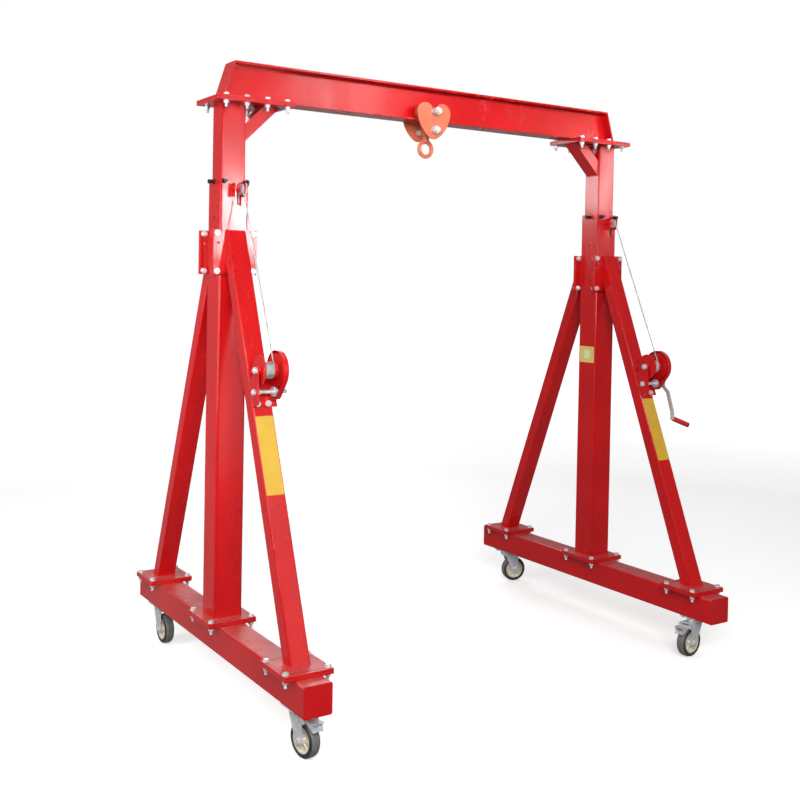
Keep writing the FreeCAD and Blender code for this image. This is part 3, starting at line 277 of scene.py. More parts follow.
class RopeSettings(bpy.types.PropertyGroup):
    """The hoisting ropes."""

    diameter: FloatProperty(
        name="Rope diameter", description="Outside diameter of the wire rope",
        subtype="DISTANCE", unit="LENGTH", min=0.002, max=0.02, default=0.005,
    )
    lay_length: FloatProperty(
        name="Lay length", description="Rope length in which a strand goes once round",
        subtype="DISTANCE", unit="LENGTH", min=0.005, max=0.2, default=0.030,
    )
    strands: IntProperty(name="Strands", description="Strands round the core", min=3, max=8, default=6)
    clearance: FloatProperty(
        name="Clearance", description="Gap between the rope and what it lies on",
        subtype="DISTANCE", unit="LENGTH", default=0.0003,
    )
    groove_depth: FloatProperty(
        name="Groove depth", description="Depth of the sheave's groove",
        subtype="DISTANCE", unit="LENGTH", default=0.005,
    )
    post_wall: FloatProperty(
        name="Post wall", description="Wall thickness of the outer posts",
        subtype="DISTANCE", unit="LENGTH", default=0.004,
    )
    bend_below_sheave: FloatProperty(
        name="Bend below sheave", description="Where the rope turns straight down inside the post",
        subtype="DISTANCE", unit="LENGTH", default=0.052,
    )
    bend_radius: FloatProperty(
        name="Bend radius", description="Radius of that turn",
        subtype="DISTANCE", unit="LENGTH", default=0.060,
    )
    live_turn: FloatProperty(
        name="Live turn", description="Angle of the turn that runs off the drum",
        subtype="ANGLE", default=math.radians(290.0),
    )


class StageSettings(bpy.types.PropertyGroup):
    """Camera, floor and light."""

    camera_place: FloatVectorProperty(
        name="Camera place", description="Where the camera stands", subtype="TRANSLATION",
        size=3, default=(-2.7573, -3.9477, 1.6459),
    )
    camera_yaw: FloatProperty(
        name="Camera yaw", description="Heading from +Y toward +X", subtype="ANGLE",
        default=math.radians(32.88),
    )
    camera_pitch: FloatProperty(
        name="Camera pitch", description="Tilt below the horizon", subtype="ANGLE",
        default=math.radians(1.108),
    )
    camera_roll: FloatProperty(
        name="Camera roll", description="Roll about the line of sight", subtype="ANGLE",
        default=math.radians(1.07),
    )
    camera_lens: FloatProperty(
        name="Focal length", description="Lens for a 36 mm wide sensor, in millimetres",
        min=10.0, max=200.0, default=47.67,
    )
    shift_across: FloatProperty(name="Shift across", description="Lens shift sideways", default=-0.005)
    shift_up: FloatProperty(name="Shift up", description="Lens shift upward", default=-0.1195)
    floor_size: FloatProperty(
        name="Floor size", description="Side of the square floor", subtype="DISTANCE",
        unit="LENGTH", min=5.0, max=200.0, default=60.0,
    )
    ambient: FloatProperty(name="Ambient light", description="Strength of the even light", default=0.21)
    wall_glow: FloatProperty(
        name="Wall glow", description="Light that the white wall behind adds", default=0.15,
    )
    backdrop: FloatProperty(name="Backdrop", description="Brightness of the backdrop behind", default=1.0)
    floor_glow: FloatProperty(
        name="Floor glow", description="Light that the lit floor gives back", default=0.42,
    )


# ---------------------------------------------------------------- materials
DUST = (0.62, 0.50, 0.46)
CHIPPED_PAINT = (0.10, 0.07, 0.065)
WARM_STAIN = (0.50, 0.45, 0.36)
WORN_STEEL = (0.16, 0.16, 0.165)
RUBBER_BLOOM = (0.13, 0.128, 0.12)
GRIT = (0.26, 0.25, 0.235)
RUBBED_FILM = (0.62, 0.45, 0.22)
FLOOR_TONES = ((0.90, 0.90, 0.90), (0.93, 0.93, 0.93))
PLATE_YELLOW = (0.76, 0.62, 0.17)
PANEL_CREAM = (0.82, 0.76, 0.50)


class Shader:
    """Small helper round one material's node tree."""

    def __init__(self, name):
        self.material = bpy.data.materials.new(name)
        self.material.use_nodes = True
        self.tree = self.material.node_tree
        self.surface = self.tree.nodes["Principled BSDF"]
        self.place = self.tree.nodes.new("ShaderNodeTexCoord").outputs["Object"]

    def node(self, kind, **values):
        made = self.tree.nodes.new(kind)
        for key, value in values.items():
            setattr(made, key, value)
        return made

    def link(self, source, target):
        self.tree.links.new(source, target)

    def noise(self, scale, detail=4.0, roughness=0.55, stretch=(1.0, 1.0, 1.0)):
        """Noise in the crane's own coordinates; scale is in features per metre."""
        mapping = self.node("ShaderNodeMapping")
        mapping.inputs["Scale"].default_value = stretch
        self.link(self.place, mapping.inputs["Vector"])
        made = self.node("ShaderNodeTexNoise")
        made.inputs["Scale"].default_value = scale
        made.inputs["Detail"].default_value = detail
        made.inputs["Roughness"].default_value = roughness
        self.link(mapping.outputs["Vector"], made.inputs["Vector"])
        return made.outputs["Fac"]

    def spread(self, value, low, high, out_low, out_high):
        """Maps a value's range onto another, clamped."""
        made = self.node("ShaderNodeMapRange")
        made.inputs["From Min"].default_value = low
        made.inputs["From Max"].default_value = high
        made.inputs["To Min"].default_value = out_low
        made.inputs["To Max"].default_value = out_high
        self.link(value, made.inputs["Value"])
        return made.outputs["Result"]

    def maths(self, operation, a, b):
        made = self.node("ShaderNodeMath", operation=operation)
        for socket, value in zip(made.inputs, (a, b)):
            if isinstance(value, (int, float)):
                socket.default_value = value
            else:
                self.link(value, socket)
        return made.outputs["Value"]

    def blend(self, factor, first, second):
        """Mixes two colours; each is a tuple or a socket."""
        made = self.node("ShaderNodeMix", data_type="RGBA")
        self.link(factor, made.inputs["Factor"])
        for socket, value in ((made.inputs["A"], first), (made.inputs["B"], second)):
            if isinstance(value, bpy.types.NodeSocket):
                self.link(value, socket)
            else:
                socket.default_value = (*value, 1.0)
        return made.outputs["Result"]

    def bump(self, height, strength, distance):
        made = self.node("ShaderNodeBump")
        made.inputs["Strength"].default_value = strength
        made.inputs["Distance"].default_value = distance
        self.link(height, made.inputs["Height"])
        self.link(made.outputs["Normal"], self.surface.inputs["Normal"])

    def upward(self):
        """How far the surface faces up, -1 to 1."""
        geometry = self.node("ShaderNodeNewGeometry")
        parts = self.node("ShaderNodeSeparateXYZ")
        self.link(geometry.outputs["Normal"], parts.inputs["Vector"])
        return parts.outputs["Z"]


def shade_of(colour, factor):
    """A darker or lighter shade of a colour."""
    return tuple(min(1.0, c * factor) for c in colour)


def enamel(name, colour, roughness):
    """Sprayed enamel: slight shade drift, orange peel, dust on top faces and tiny chips."""
    s = Shader(name)
    drift = s.spread(s.noise(3.0, 3.0), 0.35, 0.65, 0.0, 1.0)
    base = s.blend(drift, shade_of(colour, 0.88), shade_of(colour, 1.06))
    dust_patch = s.spread(s.noise(14.0, 6.0, 0.62), 0.35, 0.75, 0.10, 0.21)
    dust = s.maths("MULTIPLY", dust_patch, s.spread(s.upward(), 0.5, 0.95, 0.0, 1.0))
    base = s.blend(dust, base, DUST)
    speck = s.noise(260.0, 2.0, 0.5)
    place = s.noise(9.0, 3.0, 0.6)
    chip = s.maths(
        "MULTIPLY", s.spread(speck, 0.725, 0.74, 0.0, 1.0), s.spread(place, 0.56, 0.62, 0.0, 1.0)
    )
    base = s.blend(chip, base, CHIPPED_PAINT)
    s.link(base, s.surface.inputs["Base Color"])
    smear = s.spread(s.noise(6.0, 5.0, 0.6, (1.0, 1.0, 0.35)), 0.35, 0.7, roughness * 0.8, roughness * 1.6)
    rough = s.maths("ADD", smear, s.maths("MULTIPLY", dust, 0.4))
    s.link(rough, s.surface.inputs["Roughness"])
    s.surface.inputs["Specular IOR Level"].default_value = 0.34
    s.surface.inputs["Coat Weight"].default_value = 0.08
    s.surface.inputs["Coat Roughness"].default_value = 0.06
    peel = s.maths("SUBTRACT", s.noise(420.0, 2.0, 0.4), s.maths("MULTIPLY", chip, 1.5))
    s.bump(peel, 0.10, 0.0006)
    return s.material


def zinc_plate(name, colour):
    """Dull zinc plating with a mottled spangle and faint warm stains."""
    s = Shader(name)
    mottle = s.spread(s.noise(70.0, 5.0, 0.65), 0.35, 0.68, 0.0, 1.0)
    base = s.blend(mottle, shade_of(colour, 0.78), shade_of(colour, 1.12))
    stain = s.spread(s.noise(12.0, 4.0, 0.6), 0.58, 0.78, 0.0, 0.35)
    base = s.blend(stain, base, WARM_STAIN)
    s.link(base, s.surface.inputs["Base Color"])
    s.surface.inputs["Metallic"].default_value = 0.5
    s.link(s.spread(s.noise(110.0, 4.0, 0.6), 0.3, 0.7, 0.26, 0.46), s.surface.inputs["Roughness"])
    s.bump(s.noise(500.0, 3.0, 0.6), 0.12, 0.0005)
    return s.material


def rope_wire(name, colour):
    """Greased galvanised wire."""
    s = Shader(name)
    grease = s.spread(s.noise(45.0, 5.0, 0.6), 0.4, 0.7, 0.0, 0.8)
    base = s.blend(grease, shade_of(colour, 1.10), shade_of(colour, 0.55))
    s.link(base, s.surface.inputs["Base Color"])
    s.surface.inputs["Metallic"].default_value = 0.5
    s.link(s.spread(s.noise(160.0, 3.0, 0.6), 0.3, 0.7, 0.32, 0.55), s.surface.inputs["Roughness"])
    s.bump(s.noise(1400.0, 2.0, 0.5), 0.15, 0.0003)
    return s.material


def black_steel(name, colour):
    """Oil-blackened steel, worn grey here and there."""
    s = Shader(name)
    worn = s.spread(s.noise(60.0, 6.0, 0.65), 0.6, 0.78, 0.0, 0.6)
    base = s.blend(worn, colour, WORN_STEEL)
    s.link(base, s.surface.inputs["Base Color"])
    s.surface.inputs["Metallic"].default_value = 0.5
    s.link(s.spread(s.noise(150.0, 3.0), 0.3, 0.7, 0.30, 0.5), s.surface.inputs["Roughness"])
    s.bump(s.noise(700.0, 2.0), 0.1, 0.0004)
    return s.material


def tread_rubber(name, side, tread):
    """Hard wheel rubber: black sides, a worn paler running band, scuffs, grit and dust."""
    s = Shader(name)
    band = s.node("ShaderNodeAttribute", attribute_name="band", attribute_type="GEOMETRY").outputs["Fac"]
    ragged = s.maths("ADD", band, s.spread(s.noise(130.0, 4.0, 0.6), 0.3, 0.7, -0.22, 0.22))
    base = s.blend(s.spread(ragged, 0.40, 0.62, 0.0, 1.0), side, tread)
    bloom = s.spread(s.noise(22.0, 6.0, 0.65), 0.42, 0.72, 0.0, 0.4)
    base = s.blend(bloom, base, RUBBER_BLOOM)
    grit = s.spread(s.noise(420.0, 2.0, 0.5), 0.66, 0.72, 0.0, 0.6)
    base = s.blend(grit, base, GRIT)
    s.link(base, s.surface.inputs["Base Color"])
    s.link(s.spread(s.noise(60.0, 4.0), 0.3, 0.7, 0.42, 0.7), s.surface.inputs["Roughness"])
    s.bump(s.noise(420.0, 5.0, 0.65), 0.3, 0.0006)
    return s.material


def vinyl(name, colour):
    """Plain printed film: faint fading, rubbed specks and slight ripples."""
    s = Shader(name)
    fade = s.spread(s.noise(16.0, 4.0, 0.6), 0.35, 0.68, 0.0, 1.0)
    base = s.blend(fade, shade_of(colour, 0.93), shade_of(colour, 1.05))
    rubbed = s.spread(s.noise(210.0, 3.0, 0.6), 0.68, 0.74, 0.0, 0.5)
    base = s.blend(rubbed, base, RUBBED_FILM)
    s.link(base, s.surface.inputs["Base Color"])
    s.link(s.spread(s.noise(40.0, 3.0), 0.3, 0.7, 0.28, 0.45), s.surface.inputs["Roughness"])
    s.bump(s.noise(55.0, 3.0, 0.5), 0.12, 0.0008)
    return s.material


def moulded_plastic(name, colour, roughness):
    """Moulded plastic with faint flow marks and handling dirt."""
    s = Shader(name)
    flow = s.spread(s.noise(22.0, 3.0, 0.5, (1.0, 1.0, 3.0)), 0.35, 0.65, 0.0, 1.0)
    base = s.blend(flow, shade_of(colour, 0.92), shade_of(colour, 1.05))
    dirt = s.spread(s.noise(38.0, 6.0, 0.68), 0.56, 0.76, 0.0, 0.4)
    base = s.blend(dirt, base, shade_of(colour, 0.45))
    s.link(base, s.surface.inputs["Base Color"])
    rough = s.spread(s.noise(90.0, 3.0), 0.3, 0.7, roughness * 0.8, roughness * 1.3)
    s.link(rough, s.surface.inputs["Roughness"])
    s.bump(s.noise(900.0, 2.0, 0.5), 0.08, 0.0004)
    return s.material


def stage_floor(name, glow):
    """Even pale studio floor whose own faint glow grows with the distance from the crane."""
    near, far, far_glow = 4.5, 10.0, 0.95
    s = Shader(name)
    tone = s.spread(s.noise(0.7, 3.0), 0.3, 0.7, 0.0, 1.0)
    s.link(s.blend(tone, *FLOOR_TONES), s.surface.inputs["Base Color"])
    s.surface.inputs["Roughness"].default_value = 0.8
    s.surface.inputs["Specular IOR Level"].default_value = 0.1
    s.surface.inputs["Emission Color"].default_value = (1.0, 1.0, 1.0, 1.0)
    distance = s.node("ShaderNodeVectorMath", operation="LENGTH")
    s.link(s.place, distance.inputs[0])
    growing = s.spread(distance.outputs["Value"], near, far, glow, far_glow)
    s.link(growing, s.surface.inputs["Emission Strength"])
    return s.material


MATERIALS = {}


def material(slot):
    """The crane's material for one of the record's slots, made once."""
    if slot not in MATERIALS:
        context = bpy.context.scene
        paint, steel, wheel = context.crane_enamel, context.crane_steel, context.crane_casters
        makers = {
            "red_enamel": lambda: enamel("red enamel", tuple(paint.red), paint.gloss_roughness),
            "orange_enamel": lambda: enamel("orange enamel", tuple(paint.orange), paint.gloss_roughness),
            "zinc": lambda: zinc_plate("zinc plating", tuple(steel.zinc)),
            "rope_wire": lambda: rope_wire("rope wire", tuple(steel.rope)),
            "black_steel": lambda: black_steel("blackened steel", tuple(steel.black)),
            "tread_rubber": lambda: tread_rubber("tread rubber", tuple(wheel.rubber), tuple(wheel.tread)),
            "sticker": lambda: vinyl("yellow sticker film", tuple(context.crane_labels.sticker)),
            "blank_plate": lambda: vinyl("yellow plate film", PLATE_YELLOW),
            "blank_panel": lambda: vinyl("cream panel film", PANEL_CREAM),
            "cream_core": lambda: moulded_plastic("cream wheel core", tuple(wheel.core), 0.42),
            "grip_plastic": lambda: moulded_plastic("crank grip plastic", tuple(wheel.grip), 0.32),
        }
        MATERIALS[slot] = makers[slot]()
    return MATERIALS[slot]


# ---------------------------------------------------------------- reading the frame
def joint_place(name):
    """Where a hinge's pin is, at rest."""
    return Vector(next(j["pos_m"] for j in frame["joints"] if j["name"] == name))


def joint_axis(name):
    """The direction of a hinge's pin."""
    return Vector(next(j["axis"] for j in frame["joints"] if j["name"] == name)).normalized()


def body_holding(node):
    """The body that a framed part belongs to."""
    bodies = frame["record"]["behaviour"]["bodies"]
    return next(body for body, nodes in bodies.items() if node in nodes)


def solids(node):
    """The separate solids of a framed part, each as a list of its corner points, left to right."""
    mesh = bmesh.new()
    mesh.from_mesh(frame["nodes"][node].data)
    bmesh.ops.remove_doubles(mesh, verts=mesh.verts, dist=SAME_POINT)
    found, seen = [], set()
    for first in mesh.verts:
        if first in seen:
            continue
        seen.add(first)
        group, queue = [], [first]
        while queue:
            vert = queue.pop()
            group.append(vert.co.copy())
            for edge in vert.link_edges:
                other = edge.other_vert(vert)
                if other not in seen:
                    seen.add(other)
                    queue.append(other)
        found.append(group)
    mesh.free()

    def middle(points):
        return tuple(round(v, 3) for v in sum(points, Vector()) / len(points))

    return sorted(found, key=middle)


def extent(points):
    """Lowest and highest corner of some points."""
    low = Vector([min(p[i] for p in points) for i in range(3)])
    high = Vector([max(p[i] for p in points) for i in range(3)])
    return low, high


# ---------------------------------------------------------------- building pieces
def new_piece(name, mesh, body, slot, replaced=()):
    """Links a finished mesh as one piece that rides on a body."""
    mesh.materials.clear()
    mesh.materials.append(material(slot))
    piece = bpy.data.objects.new(name, mesh)
    bpy.context.scene.collection.objects.link(piece)
    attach(piece, body)
    if replaced:
        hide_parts(*replaced)
    return piece


def point_cloud(name, points, **fields):
    """A mesh of loose points with named values on them."""
    mesh = bpy.data.meshes.new(name)
    mesh.from_pydata([tuple(p) for p in points], [], [])
    for field, values in fields.items():
        if isinstance(values[0], (int, float)):
            made = mesh.attributes.new(field, "FLOAT", "POINT")
            made.data.foreach_set("value", values)
        else:
            made = mesh.attributes.new(field, "FLOAT_VECTOR", "POINT")
            made.data.foreach_set("vector", [c for v in values for c in v])
    return mesh


def polyline(name, runs):
    """A mesh of edge chains; each run is (points, closed)."""
    verts, edges = [], []
    for points, closed in runs:
        start = len(verts)
        verts.extend(tuple(p) for p in points)
        edges.extend((start + i, start + i + 1) for i in range(len(points) - 1))
        if closed:
            edges.append((start + len(points) - 1, start))
    mesh = bpy.data.meshes.new(name)
    mesh.from_pydata(verts, edges, [])
    return mesh


class Recipe:
    """Small helper round one Geometry Nodes tree with named inputs."""

    def __init__(self, name, **sizes):
        self.tree = bpy.data.node_groups.new(name, "GeometryNodeTree")
        face = self.tree.interface
        face.new_socket("Geometry", in_out="INPUT", socket_type="NodeSocketGeometry")
        for label, value in sizes.items():
            kind = "NodeSocketInt" if isinstance(value, int) else "NodeSocketFloat"
            socket = face.new_socket(label.replace("_", " "), in_out="INPUT", socket_type=kind)
            socket.default_value = value
        face.new_socket("Finish", in_out="INPUT", socket_type="NodeSocketMaterial")
        face.new_socket("Geometry", in_out="OUTPUT", socket_type="NodeSocketGeometry")
        self.given = self.tree.nodes.new("NodeGroupInput").outputs

    def node(self, kind, links=None, **values):
        """Adds a node; links maps its input names to sockets or values."""
        made = self.tree.nodes.new(kind)
        for key, value in values.items():
            setattr(made, key, value)
        for key, value in (links or {}).items():
            if isinstance(value, bpy.types.NodeSocket):
                self.tree.links.new(value, made.inputs[key])
            else:
                made.inputs[key].default_value = value
        return made

    def maths(self, operation, a, b=0.0):
        return self.node("ShaderNodeMath", {0: a, 1: b}, operation=operation).outputs[0]

    def field(self, name, kind="FLOAT"):
        """The named values that the seed mesh carries."""
        named = self.node("GeometryNodeInputNamedAttribute", {"Name": name}, data_type=kind)
        return named.outputs["Attribute"]

    def joined(self, *parts):
        made = self.node("GeometryNodeJoinGeometry")
        for part in parts:
            self.tree.links.new(part, made.inputs[0])
        return made.outputs[0]

    def finish(self, geometry, smooth=True):
        """Realizes, shades and gives the material, then ends the tree."""
        real = self.node("GeometryNodeRealizeInstances", {"Geometry": geometry}).outputs["Geometry"]
        shaded = self.node("GeometryNodeSetShadeSmooth", {"Geometry": real, "Shade Smooth": smooth})
        painted = self.node(
            "GeometryNodeSetMaterial", {"Geometry": shaded.outputs[0], "Material": self.given["Finish"]}
        )
        end = self.tree.nodes.new("NodeGroupOutput")
        self.tree.links.new(painted.outputs["Geometry"], end.inputs["Geometry"])
        return self.tree


def grow(tree, seed_mesh, body, slot, name, replaced=(), **sizes):
    """Runs a tree on a seed mesh and keeps the result as a plain piece on a body."""
    seed = bpy.data.objects.new(name + "_seed", seed_mesh)
    bpy.context.scene.collection.objects.link(seed)
    modifier = seed.modifiers.new("grow", "NODES")
    modifier.node_group = tree
    values = {label.replace("_", " "): value for label, value in sizes.items()}
    values["Finish"] = material(slot)
    for item in tree.interface.items_tree:
        if item.in_out == "INPUT" and item.name in values:
            modifier[item.identifier] = values[item.name]
    view = bpy.context.evaluated_depsgraph_get()
    mesh = bpy.data.meshes.new_from_object(seed.evaluated_get(view))
    seed.modifiers.remove(modifier)
    bpy.data.objects.remove(seed)
    mesh.name = name
    return new_piece(name, mesh, body, slot, replaced)


def twisted_rope_tree():
    """Strands laid round a path, one whole number of turns along each run."""
    r = Recipe("twisted rope", Rope_radius=0.0025, Lay_length=0.032, Strands=6)
    radius, lay, strands = r.given["Rope radius"], r.given["Lay length"], r.given["Strands"]
    curve = r.node("GeometryNodeMeshToCurve", {"Mesh": r.given["Geometry"]}).outputs[0]
    curve = r.node(
        "GeometryNodeResampleCurve", {"Curve": curve, "Length": 0.0024}, mode="LENGTH"
    ).outputs[0]
    along = r.node("GeometryNodeSplineParameter").outputs["Factor"]
    length = r.node("GeometryNodeSplineLength").outputs["Length"]
    turns = r.maths("ROUND", r.maths("DIVIDE", length, lay))
    tilt = r.maths("MULTIPLY", r.maths("MULTIPLY", along, turns), 2.0 * math.pi)
    curve = r.node("GeometryNodeSetCurveTilt", {"Curve": curve, "Tilt": tilt}).outputs[0]
    ring = r.node(
        "GeometryNodeCurvePrimitiveCircle",
        {"Resolution": strands, "Radius": r.maths("MULTIPLY", radius, 2.0 / 3.0)},
    ).outputs[0]
    strand = r.node(
        "GeometryNodeCurvePrimitiveCircle",
        {"Resolution": 7, "Radius": r.maths("MULTIPLY", radius, 1.0 / 3.0)},
    ).outputs[0]
    spread = r.node("GeometryNodeInstanceOnPoints", {"Points": ring, "Instance": strand}).outputs[0]
    profile = r.node("GeometryNodeRealizeInstances", {"Geometry": spread}).outputs[0]
    rope = r.node(
        "GeometryNodeCurveToMesh", {"Curve": curve, "Profile Curve": profile, "Fill Caps": True}
    ).outputs[0]
    return r.finish(rope)


def fastener_tree():
    """Bolt heads, nuts and threaded ends on points that carry a direction, a size and a kind."""
    r = Recipe("fasteners", Seed=7)
    kind = r.field("kind")
    size = r.field("size")
    turn = r.node(
        "FunctionNodeAlignRotationToVector", {"Vector": r.field("facing", "FLOAT_VECTOR")}, axis="Z"
    ).outputs[0]
    spin = r.node(
        "FunctionNodeRandomValue", {"Min": 0.0, "Max": math.pi / 3.0, "Seed": r.given["Seed"]},
        data_type="FLOAT",
    )
    spin_value = next(o for o in spin.outputs if o.enabled)
    about = r.node(
        "FunctionNodeAxisAngleToRotation", {"Axis": (0.0, 0.0, 1.0), "Angle": spin_value}
    ).outputs[0]
    turn = r.node("FunctionNodeRotateRotation", {0: turn, 1: about}, rotation_space="LOCAL").outputs[0]

    def chamfered(sides, radius, height, cut, inset, base=0.0):
        """A prism whose upper edge is cut back; sizes are in bolt diameters."""
        body = r.node(
            "GeometryNodeMeshCylinder", {"Vertices": sides, "Radius": radius, "Depth": height - cut},
            fill_type="NGON",
        )
        lifted = r.node(
            "GeometryNodeExtrudeMesh",
            {"Mesh": body.outputs["Mesh"], "Selection": body.outputs["Top"], "Offset Scale": cut},
            mode="FACES",
        )
        shrunk = r.node(
            "GeometryNodeScaleElements",
            {"Geometry": lifted.outputs["Mesh"], "Selection": lifted.outputs["Top"], "Scale": inset},
        )
        placed = r.node(
            "GeometryNodeTransform",
            {"Geometry": shrunk.outputs[0], "Translation": (0.0, 0.0, base + (height - cut) / 2.0)},
        )
        return placed.outputs[0]

    hex_radius, head_height, nut_height, chamfer, chamfer_inset = 0.905, 0.62, 0.80, 0.07, 0.90
    washer_sides, washer_chamfer, washer_inset = 28, 0.03, 0.97
    washer = chamfered(washer_sides, 1.0, WASHER_THICK, washer_chamfer, washer_inset)
    head = r.joined(washer, chamfered(6, hex_radius, head_height, chamfer, chamfer_inset, WASHER_THICK))
    nut = r.joined(washer, chamfered(6, hex_radius, nut_height, chamfer, chamfer_inset, WASHER_THICK))
    coil = r.node(
        "GeometryNodeCurvePrimitiveLine", {"Start": (0.0, 0.0, 0.0), "End": (0.0, 0.0, 1.0)}
    ).outputs[0]
    coil = r.node("GeometryNodeResampleCurve", {"Curve": coil, "Count": 17}, mode="COUNT").outputs[0]
    index = r.node("GeometryNodeInputIndex").outputs[0]
    root, crest = 0.94, 1.0
    every_other = r.maths("FLOORED_MODULO", index, 2.0)
    ridge = r.maths("ADD", root, r.maths("MULTIPLY", every_other, crest - root))
    coil = r.node("GeometryNodeSetCurveRadius", {"Curve": coil, "Radius": ridge}).outputs[0]
    circle = r.node("GeometryNodeCurvePrimitiveCircle", {"Resolution": 14, "Radius": 0.5}).outputs[0]
    thread = r.node(
        "GeometryNodeCurveToMesh",
        {"Curve": coil, "Profile Curve": circle, "Scale": ridge, "Fill Caps": True},
    ).outputs[0]
    placed = []
    for number, shape in ((HEAD, head), (NUT, nut), (THREAD, thread)):
        chosen = r.node(
            "FunctionNodeCompare", {"A": kind, "B": float(number), "Epsilon": 0.1}, operation="EQUAL"
        )
        scale = r.field("stretch", "FLOAT_VECTOR") if number == THREAD else size
        put = r.node(
            "GeometryNodeInstanceOnPoints",
            {
                "Points": r.given["Geometry"], "Selection": chosen.outputs[0], "Instance": shape,
                "Rotation": turn, "Scale": scale,
            },
        )
        placed.append(put.outputs[0])
    return r.finish(r.joined(*placed), smooth=False)


def weld_tree():
    """A rippled bead along each run."""
    r = Recipe("weld bead", Bead_radius=0.003, Ripple_length=0.004, Seed=3)
    curve = r.node("GeometryNodeMeshToCurve", {"Mesh": r.given["Geometry"]}).outputs[0]
    step = r.maths("MULTIPLY", r.given["Ripple length"], 0.5)
    curve = r.node("GeometryNodeResampleCurve", {"Curve": curve, "Length": step}, mode="LENGTH").outputs[0]
    index = r.node("GeometryNodeInputIndex").outputs[0]
    ripple_share, thinnest, thickest = 0.14, 0.88, 1.02
    ripple = r.maths("MULTIPLY", r.maths("FLOORED_MODULO", index, 2.0), ripple_share)
    wander = r.node(
        "FunctionNodeRandomValue",
        {"Min": thinnest, "Max": thickest, "Seed": r.given["Seed"]},
        data_type="FLOAT",
    )
    swell = r.maths("SUBTRACT", next(o for o in wander.outputs if o.enabled), ripple)
    curve = r.node("GeometryNodeSetCurveRadius", {"Curve": curve, "Radius": swell}).outputs[0]
    circle = r.node(
        "GeometryNodeCurvePrimitiveCircle", {"Resolution": 8, "Radius": r.given["Bead radius"]}
    ).outputs[0]
    bead = r.node(
        "GeometryNodeCurveToMesh",
        {"Curve": curve, "Profile Curve": circle, "Scale": swell, "Fill Caps": True},
    ).outputs[0]
    return r.finish(bead)


def teeth_tree():
    """A thin toothed disc about the X axis; only its teeth stand out of the wheel it lies in."""
    r = Recipe("gear teeth", Teeth=62, Root_radius=0.062, Tooth_height=0.0021, Face_width=0.0076, Phase=0.0)
    raised_reach = 0.6
    corners = r.maths("MULTIPLY", r.given["Teeth"], TOOTH_CORNERS)
    disc = r.node(
        "GeometryNodeMeshCircle", {"Vertices": corners, "Radius": r.given["Root radius"]}, fill_type="NGON"
    ).outputs[0]
    index = r.node("GeometryNodeInputIndex").outputs[0]
    step = r.maths("FLOORED_MODULO", index, float(TOOTH_CORNERS))
    raised = r.maths("COMPARE", step, TOOTH_MIDDLE)
    raised.node.inputs[2].default_value = raised_reach
    outward = r.node(
        "ShaderNodeVectorMath", {0: r.node("GeometryNodeInputPosition").outputs[0]}, operation="NORMALIZE"
    ).outputs[0]
    lift = r.node(
        "ShaderNodeVectorMath", {0: outward, "Scale": r.maths("MULTIPLY", raised, r.given["Tooth height"])},
        operation="SCALE",
    ).outputs[0]
    disc = r.node("GeometryNodeSetPosition", {"Geometry": disc, "Offset": lift}).outputs[0]
    width = r.given["Face width"]
    back = r.node("GeometryNodeFlipFaces", {"Mesh": disc}).outputs[0]
    front = r.node("GeometryNodeExtrudeMesh", {"Mesh": disc, "Offset Scale": width}, mode="FACES").outputs[0]
    both = r.joined(front, back)
    whole = r.node("GeometryNodeMergeByDistance", {"Geometry": both, "Distance": 0.00001}).outputs[0]
    half = r.node("ShaderNodeCombineXYZ", {"Z": r.maths("MULTIPLY", width, -0.5)}).outputs[0]
    spin = r.node("ShaderNodeCombineXYZ", {"Z": r.given["Phase"]}).outputs[0]
    whole = r.node(
        "GeometryNodeTransform", {"Geometry": whole, "Translation": half, "Rotation": spin}
    ).outputs[0]
    upright = (0.0, math.pi / 2.0, 0.0)
    whole = r.node("GeometryNodeTransform", {"Geometry": whole, "Rotation": upright}).outputs[0]
    at = r.node("GeometryNodeInstanceOnPoints", {"Points": r.given["Geometry"], "Instance": whole}).outputs[0]
    return r.finish(at, smooth=False)


def revolved(name, shape, centre, axis, steps, band=None):
    """A ring turned round an axis. shape(step) gives its closed outline as (along, radius) pairs."""
    side = axis.orthogonal().normalized()
    other = axis.cross(side)
    made = bmesh.new()
    layer = made.verts.layers.float.new("band")
    rings = []
    for i in range(steps):
        angle = 2.0 * math.pi * i / steps
        outward = side * math.cos(angle) + other * math.sin(angle)
        ring = []
        for along, radius in shape(i):
            vert = made.verts.new(centre + axis * along + outward * radius)
            vert[layer] = band(along, radius) if band else 0.0
            ring.append(vert)
        rings.append(ring)
    for i, ring in enumerate(rings):
        ahead = rings[(i + 1) % steps]
        for j in range(len(ring)):
            k = (j + 1) % len(ring)
            made.faces.new((ring[j], ring[k], ahead[k], ahead[j]))
    bmesh.ops.recalc_face_normals(made, faces=made.faces)
    return plain_mesh(name, made)


def plain_mesh(name, made, smooth_below=35.0):
    """Turns an edited mesh into a finished one, smooth except at its sharp edges."""
    mesh = bpy.data.meshes.new(name)
    made.to_mesh(mesh)
    made.free()
    for polygon in mesh.polygons:
        polygon.use_smooth = True
    mesh.set_sharp_from_angle(angle=math.radians(smooth_below))
    return mesh


def mirrored(half):
    """A closed outline from its +side half, listed from the bore outward."""
    return list(half) + [(-along, radius) for along, radius in reversed(half)]


